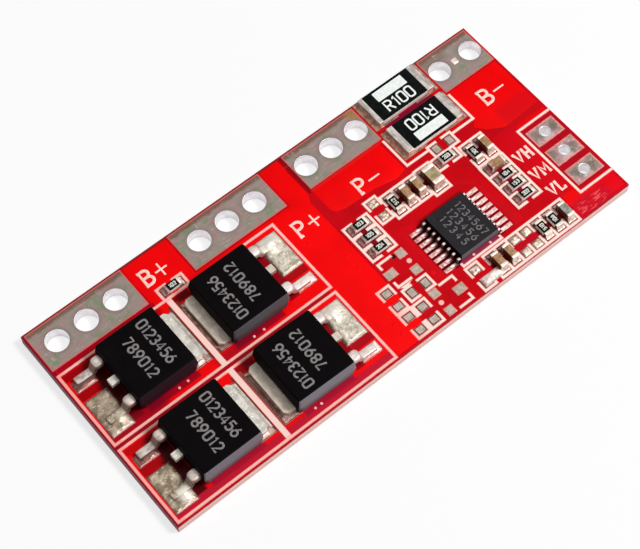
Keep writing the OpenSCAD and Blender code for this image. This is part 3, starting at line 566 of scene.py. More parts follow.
def inMetres(name, shape):
    data = bpy.data.meshes.new(name)
    bmesh.ops.scale(shape, vec=(mm, mm, mm), verts=shape.verts)
    shape.to_mesh(data)
    shape.free()
    return data


# The mesh that a piece has once its modifiers or its curve are worked out
def workedOut(made):
    bpy.context.view_layer.update()
    return bpy.data.meshes.new_from_object(made.evaluated_get(bpy.context.evaluated_depsgraph_get()))


def settle(name, shape, finishes, replaced=(), angle=32, even=True):
    bmesh.ops.recalc_face_normals(shape, faces=shape.faces)
    data = inMetres(name, shape)
    data.polygons.foreach_set("use_smooth", [True] * len(data.polygons))
    data.set_sharp_from_angle(angle=math.radians(angle))
    for finish in finishes:
        data.materials.append(finish.material)
    made = added(name, data)
    if even:
        weigh = made.modifiers.new("even_shading", "WEIGHTED_NORMAL")
        weigh.keep_sharp = True
    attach(made, bodyName)
    if replaced:
        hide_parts(*replaced)
    return made


# Solder shades smoothly over all but its sharpest folds
def settleSolder(name, shape, finishes, replaced):
    settle(name, shape, finishes, [replaced], angle=60, even=False)


# A CAD solid with its hard edges rounded off. A rim is a strip of the second finish round its top,
# pick gives the finish of a face, and edges says which of the hard edges are rounded.
def soften(node, width, slotName, finishes, steps=2, angle=30, rim=0, merge=True, pick=None, edges=None):
    shape = bmesh.new()
    shape.from_mesh(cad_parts[node].data)
    bmesh.ops.scale(shape, vec=(1 / mm, 1 / mm, 1 / mm), verts=shape.verts)
    bmesh.ops.remove_doubles(shape, verts=shape.verts, dist=0.0005)
    if merge:
        bmesh.ops.dissolve_limit(shape, angle_limit=math.radians(0.5), verts=shape.verts, edges=shape.edges)
    hard = [e for e in shape.edges if len(e.link_faces) == 2 and e.calc_face_angle(0) > math.radians(angle)
            and (edges is None or edges(e))]
    bmesh.ops.bevel(shape, geom=hard, offset=width, segments=steps, profile=0.5, affect="EDGES",
                    clamp_overlap=True)
    shape.normal_update()
    ring = set()
    if rim:
        tops = [f for f in shape.faces if f.normal.z > 0.99]
        ring = set(bmesh.ops.inset_region(shape, faces=tops, thickness=rim, use_even_offset=True,
                                          use_boundary=True)["faces"])
    for face in shape.faces:
        face.material_index = pick(face, face in ring) if pick else int(face in ring)
    return settle(node + "_soft", shape, finishes, [node])


# Board, with the copper that stands up under the mask
copper = {
    "thick": 0.022,
    "sunk": 0.01,
    "slope": 0.14,
    "boardSoft": 0.05,
    "boardEdge": 0.1,
    "pours": [
        [(-24.75, 6.43), (-14.63, 6.43), (-14.63, 10.75), (-9.82, 10.75), (-9.82, 6.43), (0.52, 6.43),
         (0.52, 10.75), (2.6, 10.75), (2.6, 6.3), (2.2, 5.5), (2.2, -10.75), (-24.75, -10.75)],
        [(3.0, 6.43), (10.85, 6.43), (10.85, 2.75), (9.6, 2.5), (7.4, 2.95), (4.2, 3.05), (3.35, 3.3),
         (3.0, 3.8)],
        [(18.9, 6.43), (24.75, 6.43), (24.75, 0.6), (20.6, 0.4), (19.1, 1.3), (18.4, 2.2), (18.9, 2.8)],
        [(19.0, 0.0), (24.75, 0.0), (24.75, -0.95), (21.3, -0.95), (21.3, -8.5), (24.75, -8.5),
         (24.75, -10.75), (19.5, -10.75), (19.5, -7.9), (19.0, -7.5)],
    ],
    "innerPours": [
        [(5.5, -1.2), (6.5, -1.25), (7.9, -2.0), (6.55, -2.6), (6.45, -7.4), (5.5, -7.4)],
        [(13.2, 0.2), (14.6, -0.1), (15.5, -0.7), (15.55, -7.7), (14.5, -7.7), (14.5, -2.4), (13.2, -1.3)],
    ],
}


def slab(shape, outline, base, top, slope):
    area = sum(a[0] * b[1] - b[0] * a[1] for a, b in zip(outline, outline[1:] + outline[:1]))
    if area < 0:
        outline = outline[::-1]
    inner = []
    for before, here, after in zip(outline[-1:] + outline[:-1], outline, outline[1:] + outline[:1]):
        u = (Vector(here) - Vector(before)).normalized()
        v = (Vector(after) - Vector(here)).normalized()
        normals = [Vector((-w.y, w.x)) for w in (u, v)]
        mitre = (normals[0] + normals[1]).normalized()
        inner.append(Vector(here) + mitre * slope / max(mitre.dot(normals[0]), 0.4))
    rings = [[(p[0], p[1], base) for p in outline], [(p.x, p.y, top) for p in inner]]
    loft(shape, Matrix.Identity(4), rings)


nearOutline = high("board") - Vector((copper["boardEdge"], copper["boardEdge"], 0))


def onOutline(edge):
    return all(abs(v.co.x) > nearOutline.x or abs(v.co.y) > nearOutline.y for v in edge.verts)


soften("board", copper["boardSoft"], "red_mask", [maskOverGlass], angle=40, merge=False, edges=onOutline)
for name, pours, finish in (("copper_pours", "pours", maskOverCopper),
                            ("inner_copper_pours", "innerPours", maskOverInnerCopper)):
    shape = bmesh.new()
    for outline in copper[pours]:
        slab(shape, outline, boardTop - copper["sunk"], boardTop + copper["thick"], copper["slope"])
    settle(name, shape, [finish], angle=20, even=False)

# Via holes: masked ones show as small domes with a dimple, tinned ones as pale dots
vias = {
    "masked": [(0.05, -8.2), (0.05, -9.35), (5.85, -6.6), (1.2, -0.6), (1.2, -2.2), (-0.6, 2.4),
               (19.6, -9.0)],
    "tinned": [(-17.5, -1.35), (-16.55, -1.3), (-9.75, -1.6), (-8.7, -1.6), (-9.95, -9.98), (-9.3, -9.98),
               (9.75, -7.52), (11.65, -7.52)],
    "maskedRadius": 0.22,
    "tinnedRadius": 0.13,
    "high": 0.03,
    "proud": 0.012,
    "rings": ((1, 0), (0.85, 0.7), (0.6, 1), (0.35, 0.8), (0.12, 0.3)),  # shares of radius and height
}


def domes(name, places, radius, finish):
    shape = bmesh.new()
    for x, y in places:
        rings = [[(radius * share * math.cos(a * math.pi / 8), radius * share * math.sin(a * math.pi / 8),
                   vias["high"] * lift) for a in range(16)] for share, lift in vias["rings"]]
        loft(shape, place(x, y, boardTop + vias["proud"]), rings)
    settle(name, shape, [finish])


domes("masked_vias", vias["masked"], vias["maskedRadius"], maskOverCopper)
domes("tinned_vias", vias["tinned"], vias["tinnedRadius"], dotTin)
print("board done")


# 1 for the barrels and the edges of their mouths, 2 for a lip at the outer edge
def padPick(holes, radius, rim=0):
    def pick(face, onRim):
        gap = min(max(math.hypot(v.co.x - x, v.co.y - y) for v in face.verts) for x, y in holes) - radius
        return int(gap < 2 * pads["soft"]) or 2 * int(onRim and gap > rim * 1.3)
    return pick


def landPick(face, onRim):
    at = face.calc_center_median()
    reach = pads["landReach"]
    lipped = any(abs(at.x - x) < reach[0] and abs(at.y - y) < reach[1] for x, y in pads["lippedLands"])
    return (2 if lipped else 1) if onRim else 0


def softenCopper(node, *finishes, **ways):
    soften(node, pads["soft"], "tinned_copper", finishes, **ways)


for node in bigPads:
    softenCopper(node, padTin, barrelTin, angle=40, pick=padPick(padHoles(node), pads["holeRadius"]))
softenCopper("tap_pads", tapTin, barrelTin, landLip, angle=40, rim=pads["tapRim"],
             pick=padPick(pads["taps"], pads["tapHoleRadius"], pads["tapRim"]))
softenCopper("transistor_lands", landTin, landEdge, rim=0.06)
softenCopper("chip_lands", landTin, landEdge, rim=0.09)
softenCopper("spare_lands", spareTin, landEdge, landLip, rim=0.08, pick=landPick)
softenCopper("protection_chip_lands", chipLandTin)
softenCopper("sense_lands", senseLandTin)
soften("legend", 0.004, "legend_ink", [legendInk, inkEdge], steps=1, rim=0.035)
print("pads and lands done")


# A pool of solder over a land: round-shouldered, lumpy, with swells where leads stand in it
def pool(shape, where, dims, height, seed, swells=(), rough=0.35, shoulderWide=0.3, finish=0, front=None):
    step, fewest = 0.075, 6
    nx, ny = max(int(dims[0] / step), fewest), max(int(dims[1] / step), fewest)
    grid = []
    for i in range(nx + 1):
        row = []
        for j in range(ny + 1):
            x, y = dims[0] * (i / nx - 0.5), dims[1] * (j / ny - 0.5)
            nearX = min((dims[0] / 2 - abs(x)) / shoulderWide, 1)
            nearY = min((dims[1] / 2 - abs(y)) / shoulderWide, 1)
            rim = math.sqrt(max(1 - (1 - nearX) ** 2, 0)) * math.sqrt(max(1 - (1 - nearY) ** 2, 0))
            lump = noise.noise(Vector((x * 1.7, y * 1.7, seed)))
            lump += 0.5 * noise.noise(Vector((x * 4.1, y * 4.1, seed)))
            z = height * rim * (0.72 + rough * lump)
            for sx, sy, reach, rise in swells:
                far = math.hypot(x - sx, y - sy) / reach
                z += rise * rim * math.exp(-far * far)
            row.append(shape.verts.new(where @ Vector((x, y, max(z, 0)))))
        grid.append(row)
    for i in range(nx):
        for j in range(ny):
            face = shape.faces.new((grid[i][j], grid[i + 1][j], grid[i + 1][j + 1], grid[i][j + 1]))
            face.normal_update()
            # Steep faces that look to the front take the front finish, painted pale as a highlight
            steep = front is not None and face.normal.y < -0.5
            face.material_index = front if steep else finish


# A hollow-cheeked fillet from a land up a metal end. It stands at x = 0 and runs out along +x.
def fillet(shape, where, reach, endWide, landWide, height, finish=0):
    across, out = 8, 6
    inside, swell = 0.02, 0.03  # how far it goes into the end, and how far it stands off the land
    rows = []
    for i in range(out + 1):
        v = i / out
        half = (endWide + (landWide - endWide) * math.sqrt(v)) / 2
        row = []
        for j in range(across + 1):
            u = 2 * j / across - 1
            z = height * (1 - v) ** 2.2 * (1 - 0.35 * abs(u) ** 3) + swell * (1 - v ** 4) * (1 - u ** 4)
            row.append(shape.verts.new(where @ Vector((reach * v - inside, half * u, z))))
        rows.append(row)
    for i in range(out):
        for j in range(across):
            face = shape.faces.new((rows[i][j], rows[i + 1][j], rows[i + 1][j + 1], rows[i][j + 1]))
            face.material_index = finish
    for j in (0, across):
        foot = [row[j] for row in rows]
        base = shape.verts.new(where @ Vector((-inside, (endWide / 2) * (-1 if j == 0 else 1), 0)))
        face = shape.faces.new(foot + [base] if j == 0 else [base] + foot[::-1])
        face.material_index = finish


# Power transistors
transistor = {
    "count": 4,
    "turns": (0, 180, 0, 179),
    "centres": [(-18.195, 1.9), (-8.305, 1.9), (-18.195, -6.7), (-8.305, -6.7)],
    "corners": (0.42, 0.22),
    "shoulder": 0.16,
    "markHigh": 0.012,
    "parting": 1.2,     # over the lands
    "stubHalf": 0.6,
    "footHigh": 0.62,
    "leadHalf": 0.4,
    "leadSoft": 0.1,
    "tabSoft": 0.06,
    "knee": (1.15, 1.1),
    "kneeOut": 0.34,
    "kneeLevels": (2.1, 2.76),
    "kneeRounds": (0.24, 0.4),
    "leanUnder": 0.08,
    "roundUnder": 0.06,
    "seamHalf": 0.02,
    "lean": 0.12,
    "lines": [("0123456", 1.3, 0.2, 4.55), ("789012", -0.6, -0.17, 4.1)],
    "letterHigh": 0.92,
    "stroke": 0.18,
}
bodySize = size("transistor_1_body")


# 1 for the middle stub, 2 for the foot that stands in the source solder, 0 for the rest
def leadPick(body, turned):
    def pick(face, onRim):
        at = face.calc_center_median()
        away = (at.y - body.y) * (-1 if turned else 1)
        if abs(away) < transistor["stubHalf"]:
            return 1
        return 2 if away < 0 and at.z < landTop + transistor["footHigh"] else 0
    return pick


for k in range(transistor["count"]):
    node = f"transistor_{k + 1}_body"
    at, top = middle(node), high(node).z - transistor["markHigh"]
    base = low(node).z
    seam = landTop + transistor["parting"]
    profile = shoulder(transistor["leanUnder"], base, transistor["roundUnder"], -1)
    profile += [(0.0, seam - transistor["seamHalf"]), (0.0, seam + transistor["seamHalf"])]
    profile += shoulder(transistor["lean"], top, transistor["shoulder"], steps=4)
    below, above = transistor["corners"]
    rings = [roundedRing(bodySize.x / 2 - inset, bodySize.y / 2 - inset, below if z < seam else above, z)
             for inset, z in profile]
    shape = bmesh.new()
    loft(shape, place(at.x, at.y, 0, transistor["turns"][k]), rings)
    settle(node + "_moulded", shape, [transistorMould], [node], angle=40)
    turned = k % 2
    leads = f"transistor_{k + 1}_leads"
    metals = [paleLeadMetal, paleLeadMetal, brightSolder] if turned else [leadMetal, stubMetal, dullSolder]
    soften(leads, transistor["leadSoft"], "lead_metal", metals, steps=3, pick=leadPick(at, turned))
    shape = bmesh.new()
    outward = 1 if turned else -1
    for y in (low(leads).y + transistor["leadHalf"], high(leads).y - transistor["leadHalf"]):
        block(shape, place(at.x + outward * (bodySize.x / 2 + transistor["kneeOut"]), y), transistor["knee"],
              transistor["kneeLevels"], *transistor["kneeRounds"])
    settle(leads + "_shoulders", shape, [paleLeadMetal if turned else kneeMetal], angle=60)
    soften(f"transistor_{k + 1}_tab", transistor["tabSoft"], "lead_metal",
           [tabBare if turned else tabCovered], steps=3)

# Solder that the transistors stand in. Each swell is its place, its reach and its rise.
pools = {
    "source": {"from": -5.1, "side": -1.39, "dims": (2.2, 4.05), "high": 0.24, "rough": 0.22},
    "gate": {"from": -5.1, "side": 2.19, "dims": (2.0, 1.05), "high": 0.18, "rough": 0.2},
    "swells": {
        "source": [[(0.3, -1.05, 0.6, 0.3)],
                   [(0.3, -1.05, 0.8, 0.42), (-0.5, -1.2, 0.5, 0.12), (0.4, 0.6, 0.6, 0.1)]],
        "gate": [[(0.3, 0.1, 0.5, 0.12)], [(0.3, 0.1, 0.5, 0.16)]],
    },
    "beads": [(-14.7, -0.62), (-14.65, -9.18)],
    "beadDims": (0.8, 0.5),
    "beadHigh": 0.24,
    "tabReach": (0.42, 0.34),
    "tabWide": 4.6,
    "tabFoot": 5.0,
    "tabHigh": 0.3,
}
shape = bmesh.new()
for k in range(transistor["count"]):
    turned = k % 2
    tab = f"transistor_{k + 1}_tab"
    x, y = transistor["centres"][k]
    where = place(x, y, landTop, 180 * turned)
    for number, (name, seed) in enumerate((("source", 3), ("gate", 8))):
        one = pools[name]
        pool(shape, where @ place(one["from"], one["side"]), one["dims"], one["high"], seed + 5 * k,
             pools["swells"][name][turned], one["rough"], finish=2 * number + turned, front=6 + number)
    tabEnd = low(tab).x if turned else high(tab).x
    fillet(shape, place(tabEnd, middle(tab).y, landTop, 180 * turned), pools["tabReach"][turned],
           pools["tabWide"], pools["tabFoot"], pools["tabHigh"], finish=4 + turned)
for x, y in pools["beads"]:
    pool(shape, place(x, y, landTop), pools["beadDims"], pools["beadHigh"], seed=70, rough=0.3,
         shoulderWide=0.25, finish=6)
# Rim solder and pink rim solder are painted highlights on the pools' front faces; the beads are rim solder
# all over
solders = [dullSolder, brightSolder, gateSolder, paleGateSolder, tabCovered, tabEdgeSolder, rimSolder,
           pinkRimSolder]
settleSolder("transistor_solder_pools", shape, solders, "transistor_solder")
print("transistors done")

# Sense resistors: a white ceramic plate, black coat over its top, metal round both ends
sense = {
    "count": 2,
    "wrap": 0.08,       # of the metal under the coat's ends
    "endRounds": (0.06, 0.08),
    "plateShort": 0.1,
    "plateNarrow": 0.02,
    "plateOver": 0.03,      # over the lands
    "plateUnder": 0.06,     # under the top of the metal
    "coatNarrow": 0.06,
    "coatDeep": 0.09,
    "coatHigh": 0.015,
    "rounds": (0.03, 0.05),
    "coats": ((-2.75, 2.5), (-2.55, 2.55)),
    "blocks": (((-0.085, 0.77), (3.37, 1.08)), ((0.075, -0.825), (3.35, 0.98))),
    "values": ((-0.075, -0.62, 0), (0.075, 0.54, 180)),
    "valueHigh": 1.13,
    "valueLong": 3.03,
    "stroke": 0.18,
    "valueThick": 0.008,
    "blockLevels": (-0.01, 0.006),
    "blockRounds": (0.004, 0.05),
    "toe": 0.42,
    "toeHigh": 0.36,
    "toeNarrow": 0.1,
    "toeFlare": 0.15,
}
senseEnds = [f"sense_resistor_{k + 1}_ends" for k in range(sense["count"])]
shape = bmesh.new()
filletShape = bmesh.new()
for node, (start, end) in zip(senseEnds, sense["coats"]):
    at, dims, top = middle(node), size(node), high(node).z
    for x0, x1 in ((-dims.x / 2, start + sense["wrap"]), (end - sense["wrap"], dims.x / 2)):
        block(shape, place(at.x + (x0 + x1) / 2, at.y), (x1 - x0, dims.y), (landTop, top),
              *sense["endRounds"])
    # The left fillet takes the darker sense land tin, painted shade on the side away from the light
    for side, turn in enumerate((180, 0)):
        fillet(filletShape, place(at.x, at.y, landTop, turn) @ place(dims.x / 2, 0), sense["toe"],
               dims.y - sense["toeNarrow"], dims.y + sense["toeFlare"], sense["toeHigh"],
               finish=side)
settle("sense_end_metal", shape, [senseEndMetal], senseEnds, angle=40)
for k, (start, end) in enumerate(sense["coats"]):
    node = f"sense_resistor_{k + 1}_body"
    at, dims, top = middle(node), size(node), high(node).z
    shape = bmesh.new()
    block(shape, place(at.x, at.y), (dims.x - sense["plateShort"], dims.y - sense["plateNarrow"]),
          (landTop + sense["plateOver"], top - sense["plateUnder"]), *sense["rounds"], finish=1)
    block(shape, place(at.x + (start + end) / 2, at.y), (end - start, dims.y - sense["coatNarrow"]),
          (top - sense["coatDeep"], top + sense["coatHigh"]), *sense["rounds"])
    settle(node + "_coated", shape, [resistorCoat, whiteCeramic], [node], angle=40)
settleSolder("sense_fillets", filletShape, [senseLandTin, landTin], "sense_solder")
print("sense resistors done")

# Protection chip
chip = {
    "corner": 0.08,
    "shoulder": 0.05,
    "parting": 0.57,
    "lean": 0.1,
    "letterHigh": 0.68,
    "stroke": 0.12,
    "lines": [("1234567", 1.02, 3.8), ("123456", 0.0, 3.6), ("12345", -0.95, 3.2)],
    "printHigh": 0.008,
    "printThick": 0.006,
    "printLower": 0.1,
    "seamHalf": 0.01,
    "dimple": {"right": -1.45, "back": 1.75, "radius": 0.3, "deep": 0.06},
    "leadSoft": 0.03,
    "leadPitch": 0.65,
    "leadsEachSide": 8,
    "toe": {"reach": 0.3, "endWide": 0.22, "landWide": 0.32, "height": 0.1},
}


# Presses a dimple into a settled piece with the cap of a ball
def pressDimple(made, x, y, top, radius, deep):
    ball = (radius ** 2 + deep ** 2) / (2 * deep)
    shape = bmesh.new()
    bmesh.ops.create_uvsphere(shape, u_segments=48, v_segments=64, radius=ball,
                              matrix=place(x, y, top + ball - deep))
    cutter = added("dimple_cutter", inMetres("dimple_cutter", shape))
    cut = made.modifiers.new("dimple", "BOOLEAN")
    cut.object, cut.solver = cutter, "EXACT"
    made.modifiers.move(1, 0)
    dimpled = workedOut(made)
    made.modifiers.clear()
    made.data = dimpled
    bpy.data.objects.remove(cutter)


node = "protection_chip_body"
at, dims, top = middle(node), size(node), high(node).z - chip["printHigh"]
seam = landTop + chip["parting"]
profile = [(chip["lean"], low(node).z), (0.0, seam - chip["seamHalf"]), (0.0, seam + chip["seamHalf"])]
profile += shoulder(chip["lean"], top, chip["shoulder"])
shape = bmesh.new()
loft(shape, place(at.x, at.y), [roundedRing(dims.x / 2 - inset, dims.y / 2 - inset, chip["corner"], z)
                                for inset, z in profile])
chipBody = settle("protection_chip_moulded", shape, [chipMould], [node], angle=40)
dimple = chip["dimple"]
pressDimple(chipBody, at.x + dimple["right"], at.y + dimple["back"], top, dimple["radius"], dimple["deep"])
soften("protection_chip_leads", chip["leadSoft"], "lead_metal", [chipLeadMetal])
shape = bmesh.new()
for k in range(chip["leadsEachSide"]):
    y = at.y + (k - (chip["leadsEachSide"] - 1) / 2) * chip["leadPitch"]
    for turn, x in ((0, high("protection_chip_leads").x), (180, low("protection_chip_leads").x)):
        fillet(shape, place(x, y, landTop, turn), **chip["toe"])
settleSolder("chip_lead_fillets", shape, [filletSolder], "protection_chip_solder")
print("protection chip done")

# Chip resistors and capacitors
small = {
    "resistors": 12,
    "capacitors": 8,    # the last is the big one
    "spread": 0.1,      # of the metal past both ends of the body
    "endLong": 0.3,
    "bigEndLong": 0.45,
    "reach": 0.29,
    "bigReach": 0.32,
    "landWide": 0.8,
    "solderHigh": 0.3,
    "solderShare": 0.62,
    "plateNarrow": 0.02,
    "plateOver": 0.02,
    "plateUnder": 0.05,
    "plateRounds": (0.02, 0.03),
    "coatLap": 0.1,     # of the coat over both ends
    "coatNarrow": 0.06,
    "coatDeep": 0.07,
    "coatHigh": 0.012,
    "coatRounds": (0.03, 0.05),
    "resistorEndSoft": 0.04,
    "resistorEndNarrow": 0.04,
    "firedNarrow": 0.06,
    "firedGap": 0.03,   # from the lands and from the top of the metal
    "firedRounds": (0.06, 0.07),
    "firedEndSoft": 0.08,
    "firedFlare": 0.06,
    "codes": ("102", "103", "105", "204", "512", "203", "301", "104", "153", "202", "510", "106"),
    "codeHigh": 0.33,
    "codeLong": 0.66,
    "codeStroke": 0.11,
    "codeThick": 0.006,
    "ceramics": {7: greyCeramic, 8: greenCeramic},
}


# Where a chip lies, its turn, its length over the metal and its width
def chipLie(node):
    at, dims = middle(node), size(node)
    turn = 0 if dims.x > dims.y else 90
    return place(at.x, at.y, 0, turn), turn, max(dims.x, dims.y) + small["spread"], min(dims.x, dims.y)


# Metal and solder at both ends. On the sides away from the light they are duller.
def chipEnds(lie, top, endLong, soft, reach, endWide, landWide, height):
    where, turn, long, wide = lie
    for s in (-1, 1):
        shaded = int(s < 0 and turn == 0)
        block(endShape, where @ place(s * (long - endLong) / 2, 0), (endLong, wide), (landTop, top), soft,
              soft * 1.25, finish=shaded)
        fillet(filletShape, where @ place(0, 0, landTop, 90 - 90 * s) @ place(long / 2, 0), reach,
               endWide, landWide, height, finish=shaded)


endShape = bmesh.new()
filletShape = bmesh.new()
codeMarks = []
top = high("resistor_ends").z
for k in range(small["resistors"]):
    node = f"chip_resistor_{k + 1}"
    where, turn, long, wide = lie = chipLie(node)
    shape = bmesh.new()
    block(shape, where, (long - small["spread"], wide - small["plateNarrow"]),
          (landTop + small["plateOver"], top - small["plateUnder"]), *small["plateRounds"], finish=1)
    block(shape, where, (long - 2 * small["endLong"] + small["coatLap"], wide - small["coatNarrow"]),
          (top - small["coatDeep"], top + small["coatHigh"]), *small["coatRounds"])
    settle(node + "_coated", shape, [resistorCoat, whiteCeramic], [node], angle=40)
    codeMarks.append((small["codes"][k], *middle(node).xy, small["codeHigh"], small["codeLong"], turn))
    chipEnds(lie, top, small["endLong"], small["resistorEndSoft"], small["reach"],
             wide - small["resistorEndNarrow"], small["landWide"], small["solderHigh"])
settle("resistor_end_metal", endShape, [paleEndMetal, shadedEndMetal], ["resistor_ends"],
       angle=40)
endShape = bmesh.new()
for k in range(1, small["capacitors"] + 1):
    node = f"chip_capacitor_{k}"
    where, turn, long, wide = lie = chipLie(node)
    top = high(node).z
    big = k == small["capacitors"]
    shape = bmesh.new()
    block(shape, where, (long - small["spread"], wide - small["firedNarrow"]),
          (landTop + small["firedGap"], top - small["firedGap"]), *small["firedRounds"])
    ceramic = small["ceramics"].get(k, tanCeramic)
    settle(node + "_fired", shape, [ceramic], [node], angle=40)
    chipEnds(lie, top, small["bigEndLong" if big else "endLong"], small["firedEndSoft"],
             small["bigReach" if big else "reach"], wide - small["firedFlare"], wide + small["firedFlare"],
             (top - landTop) * small["solderShare"])
settle("capacitor_end_metal", endShape, [paleEndMetal, shadedEndMetal], ["capacitor_ends"],
       angle=40)
settleSolder("chip_fillets", filletShape, [filletSolder, shadedSolder], "chip_solder")
print("chips done")

# Solder where no part stands
loose = {
    "pools": [(13.4, -8.74), (13.4, -10.26), (14.7, -8.74), (14.7, -10.26), (6.28, 1.86), (6.28, 0.34),
              (8.8, -8.74)],
    "dims": (0.85, 0.72),
    "high": 0.14,
    "bead": (9.5, -10.15, 2.1, 0.95, 0.44),     # place, length, width and height
    "dab": (21.875, 8.7, 0.6, 0.6, 0.09),
    "domed": 0.48,
}
shape = bmesh.new()
for k, (x, y) in enumerate(loose["pools"]):
    pool(shape, place(x, y, landTop), loose["dims"], loose["high"], seed=40 + k, rough=0.4,
         shoulderWide=0.25)
for x, y, long, wide, tall in (loose["bead"], loose["dab"]):
    pool(shape, place(x, y, landTop), (long, wide), tall, seed=60 + x, rough=0.25,
         shoulderWide=min(long, wide) * loose["domed"], finish=1)
settleSolder("loose_solder_pools", shape, [speckledSolder, paleGateSolder], "loose_solder")


# Lettering, drawn with a round nib
def arc(x, y, rx, ry, start, end):
    steps = max(int(abs(end - start) / 22), 2)
    angles = [math.radians(start + (end - start) * k / steps) for k in range(steps + 1)]
    return [(x + rx * math.cos(a), y + ry * math.sin(a)) for a in angles]


def feet(*places):
    return [[(x - 0.13, y), (x + 0.13, y)] for x, y in places]


strokes = {
    "0": (0.56, [arc(0.38, 0.8, 0.18, 0.2, 0, 90) + arc(0.18, 0.8, 0.18, 0.2, 90, 180)
                 + arc(0.18, 0.2, 0.18, 0.2, 180, 270) + arc(0.38, 0.2, 0.18, 0.2, 270, 360)
                 + [(0.56, 0.8)]]),
    "1": (0.3, [[(0.02, 0.82), (0.2, 1), (0.2, 0)]]),
    "2": (0.56, [arc(0.28, 0.72, 0.28, 0.28, 165, -35) + [(0, 0), (0.56, 0)]]),
    "3": (0.54, [arc(0.26, 0.75, 0.25, 0.25, 150, -90) + arc(0.26, 0.26, 0.28, 0.26, 90, -150)]),
    "4": (0.6, [[(0.44, 0), (0.44, 1), (0, 0.3), (0.6, 0.3)]]),
    "5": (0.56, [[(0.52, 1), (0.08, 1), (0.05, 0.58)] + arc(0.27, 0.32, 0.28, 0.32, 120, -150)]),
    "6": (0.56, [[(0.46, 1)] + arc(0.28, 0.31, 0.28, 0.31, 150, -210)]),
    "7": (0.54, [[(0, 1), (0.54, 1), (0.18, 0)]]),
    "8": (0.56, [arc(0.28, 0.76, 0.24, 0.24, -90, 270), arc(0.28, 0.26, 0.28, 0.26, 90, 450)]),
    "9": (0.56, [[(0.1, 0)] + arc(0.28, 0.69, 0.28, 0.31, -30, 330)]),
    "R": (0.6, [[(0, 0), (0, 1), (0.3, 1)] + arc(0.31, 0.75, 0.26, 0.25, 90, -90) + [(0, 0.5)],
                [(0.28, 0.5), (0.58, 0)]]),
    "B": (0.66, [[(0.1, 0), (0.1, 1), (0.34, 1)] + arc(0.36, 0.76, 0.25, 0.24, 90, -90) + [(0.1, 0.52)],
                 [(0.36, 0.52)] + arc(0.38, 0.26, 0.28, 0.26, 90, -90) + [(0.1, 0)], [(0, 0), (0.1, 0)],
                 [(0, 1), (0.1, 1)]]),
    "P": (0.66, [[(0.1, 0), (0.1, 1), (0.34, 1)] + arc(0.36, 0.74, 0.28, 0.26, 90, -90) + [(0.1, 0.48)],
                 [(0, 1), (0.1, 1)], *feet((0.12, 0))]),
    "V": (0.72, [[(0.06, 1), (0.36, 0), (0.66, 1)], *feet((0.06, 1), (0.66, 1))]),
    "H": (0.72, [[(0.1, 0), (0.1, 1)], [(0.62, 0), (0.62, 1)], [(0.1, 0.5), (0.62, 0.5)],
                 *feet((0.1, 0), (0.1, 1), (0.62, 0), (0.62, 1))]),
    "M": (0.86, [[(0.1, 0), (0.1, 1), (0.43, 0.3), (0.76, 1), (0.76, 0)], *feet((0.1, 0), (0.76, 0))]),
    "L": (0.6, [[(0.1, 1), (0.1, 0), (0.56, 0), (0.56, 0.22)], *feet((0.1, 1))]),
    "+": (0.7, [[(0.02, 0.5), (0.68, 0.5)], [(0.35, 0.12), (0.35, 0.88)]]),
    "-": (0.7, [[(0.02, 0.5), (0.68, 0.5)]]),
}


# Each line is text, x and y of its middle, letter height, length, and turn of its reading direction
def lettering(name, lines, level, stroke, thick, finish):
    curve = bpy.data.curves.new(name, "CURVE")
    curve.dimensions = "3D"
    curve.bevel_depth = stroke / 2 * mm
    curve.bevel_resolution = 2
    curve.use_fill_caps = True
    for text, x, y, tall, long, turn in lines:
        wide = sum(strokes[c][0] for c in text) * tall
        gap = (long - wide) / max(len(text) - 1, 1)
        pen = -long / 2
        for c in text:
            for path in strokes[c][1]:
                spline = curve.splines.new("POLY")
                spline.points.add(len(path) - 1)
                for point, (right, up) in zip(spline.points, path):
                    spot = place(x, y, 0, turn) @ Vector((pen + right * tall, (up - 0.5) * tall, 0))
                    point.co = (spot.x * mm, spot.y * mm, 0, 1)
            pen += strokes[c][0] * tall + gap
    holder = added(name, curve)
    shape = bmesh.new()
    shape.from_mesh(workedOut(holder))
    bpy.data.objects.remove(holder)
    for v in shape.verts:
        v.co = Vector((v.co.x / mm, v.co.y / mm, level + v.co.z / mm * thick / (stroke / 2)))
    settle(name, shape, [finish], angle=60, even=False)


# The width of the stroke and the lines of each kind
boardMarks = {
    "terminal_letters": (0.27, [
        ("B", -13.35, 8.7, 1.5, 1.15, 0), ("P", -0.17, 4.05, 1.5, 1.15, 0),
        ("P", 6.7, 4.03, 1.5, 1.15, 0), ("B", 21.5, 4.0, 1.55, 1.2, 0)]),
    "terminal_signs": (0.17, [
        ("+", -11.95, 8.6, 1.82, 1.27, 0), ("+", 1.25, 3.93, 1.82, 1.27, 0),
        ("-", 8.12, 3.93, 1.82, 1.27, 0), ("-", 22.95, 3.95, 1.82, 1.27, 0)]),
    "tap_letters": (0.26, [
        ("VH", 19.85, -2.77, 1.02, 1.68, 0), ("VM", 19.87, -4.97, 1.02, 1.8, 0),
        ("VL", 19.8, -7.12, 1.02, 1.55, 0)]),
}
ink = {"proud": 0.002, "thick": 0.02}
inkLevel = boardTop + copper["thick"] + ink["proud"]
for name, (stroke, lines) in boardMarks.items():
    lettering(name, lines, inkLevel, stroke, ink["thick"], letterInk)

marks = []
for k, turn in enumerate(transistor["turns"]):
    at = middle(f"transistor_{k + 1}_body")
    for text, x, y, long in transistor["lines"]:
        spot = place(at.x, at.y, 0, turn) @ Vector((x, y, 0))
        marks.append((text, spot.x, spot.y, transistor["letterHigh"], long, turn - 90))
level = high("transistor_1_body").z - transistor["markHigh"]
lettering("transistor_marks", marks, level, transistor["stroke"], transistor["markHigh"], etchedMark)

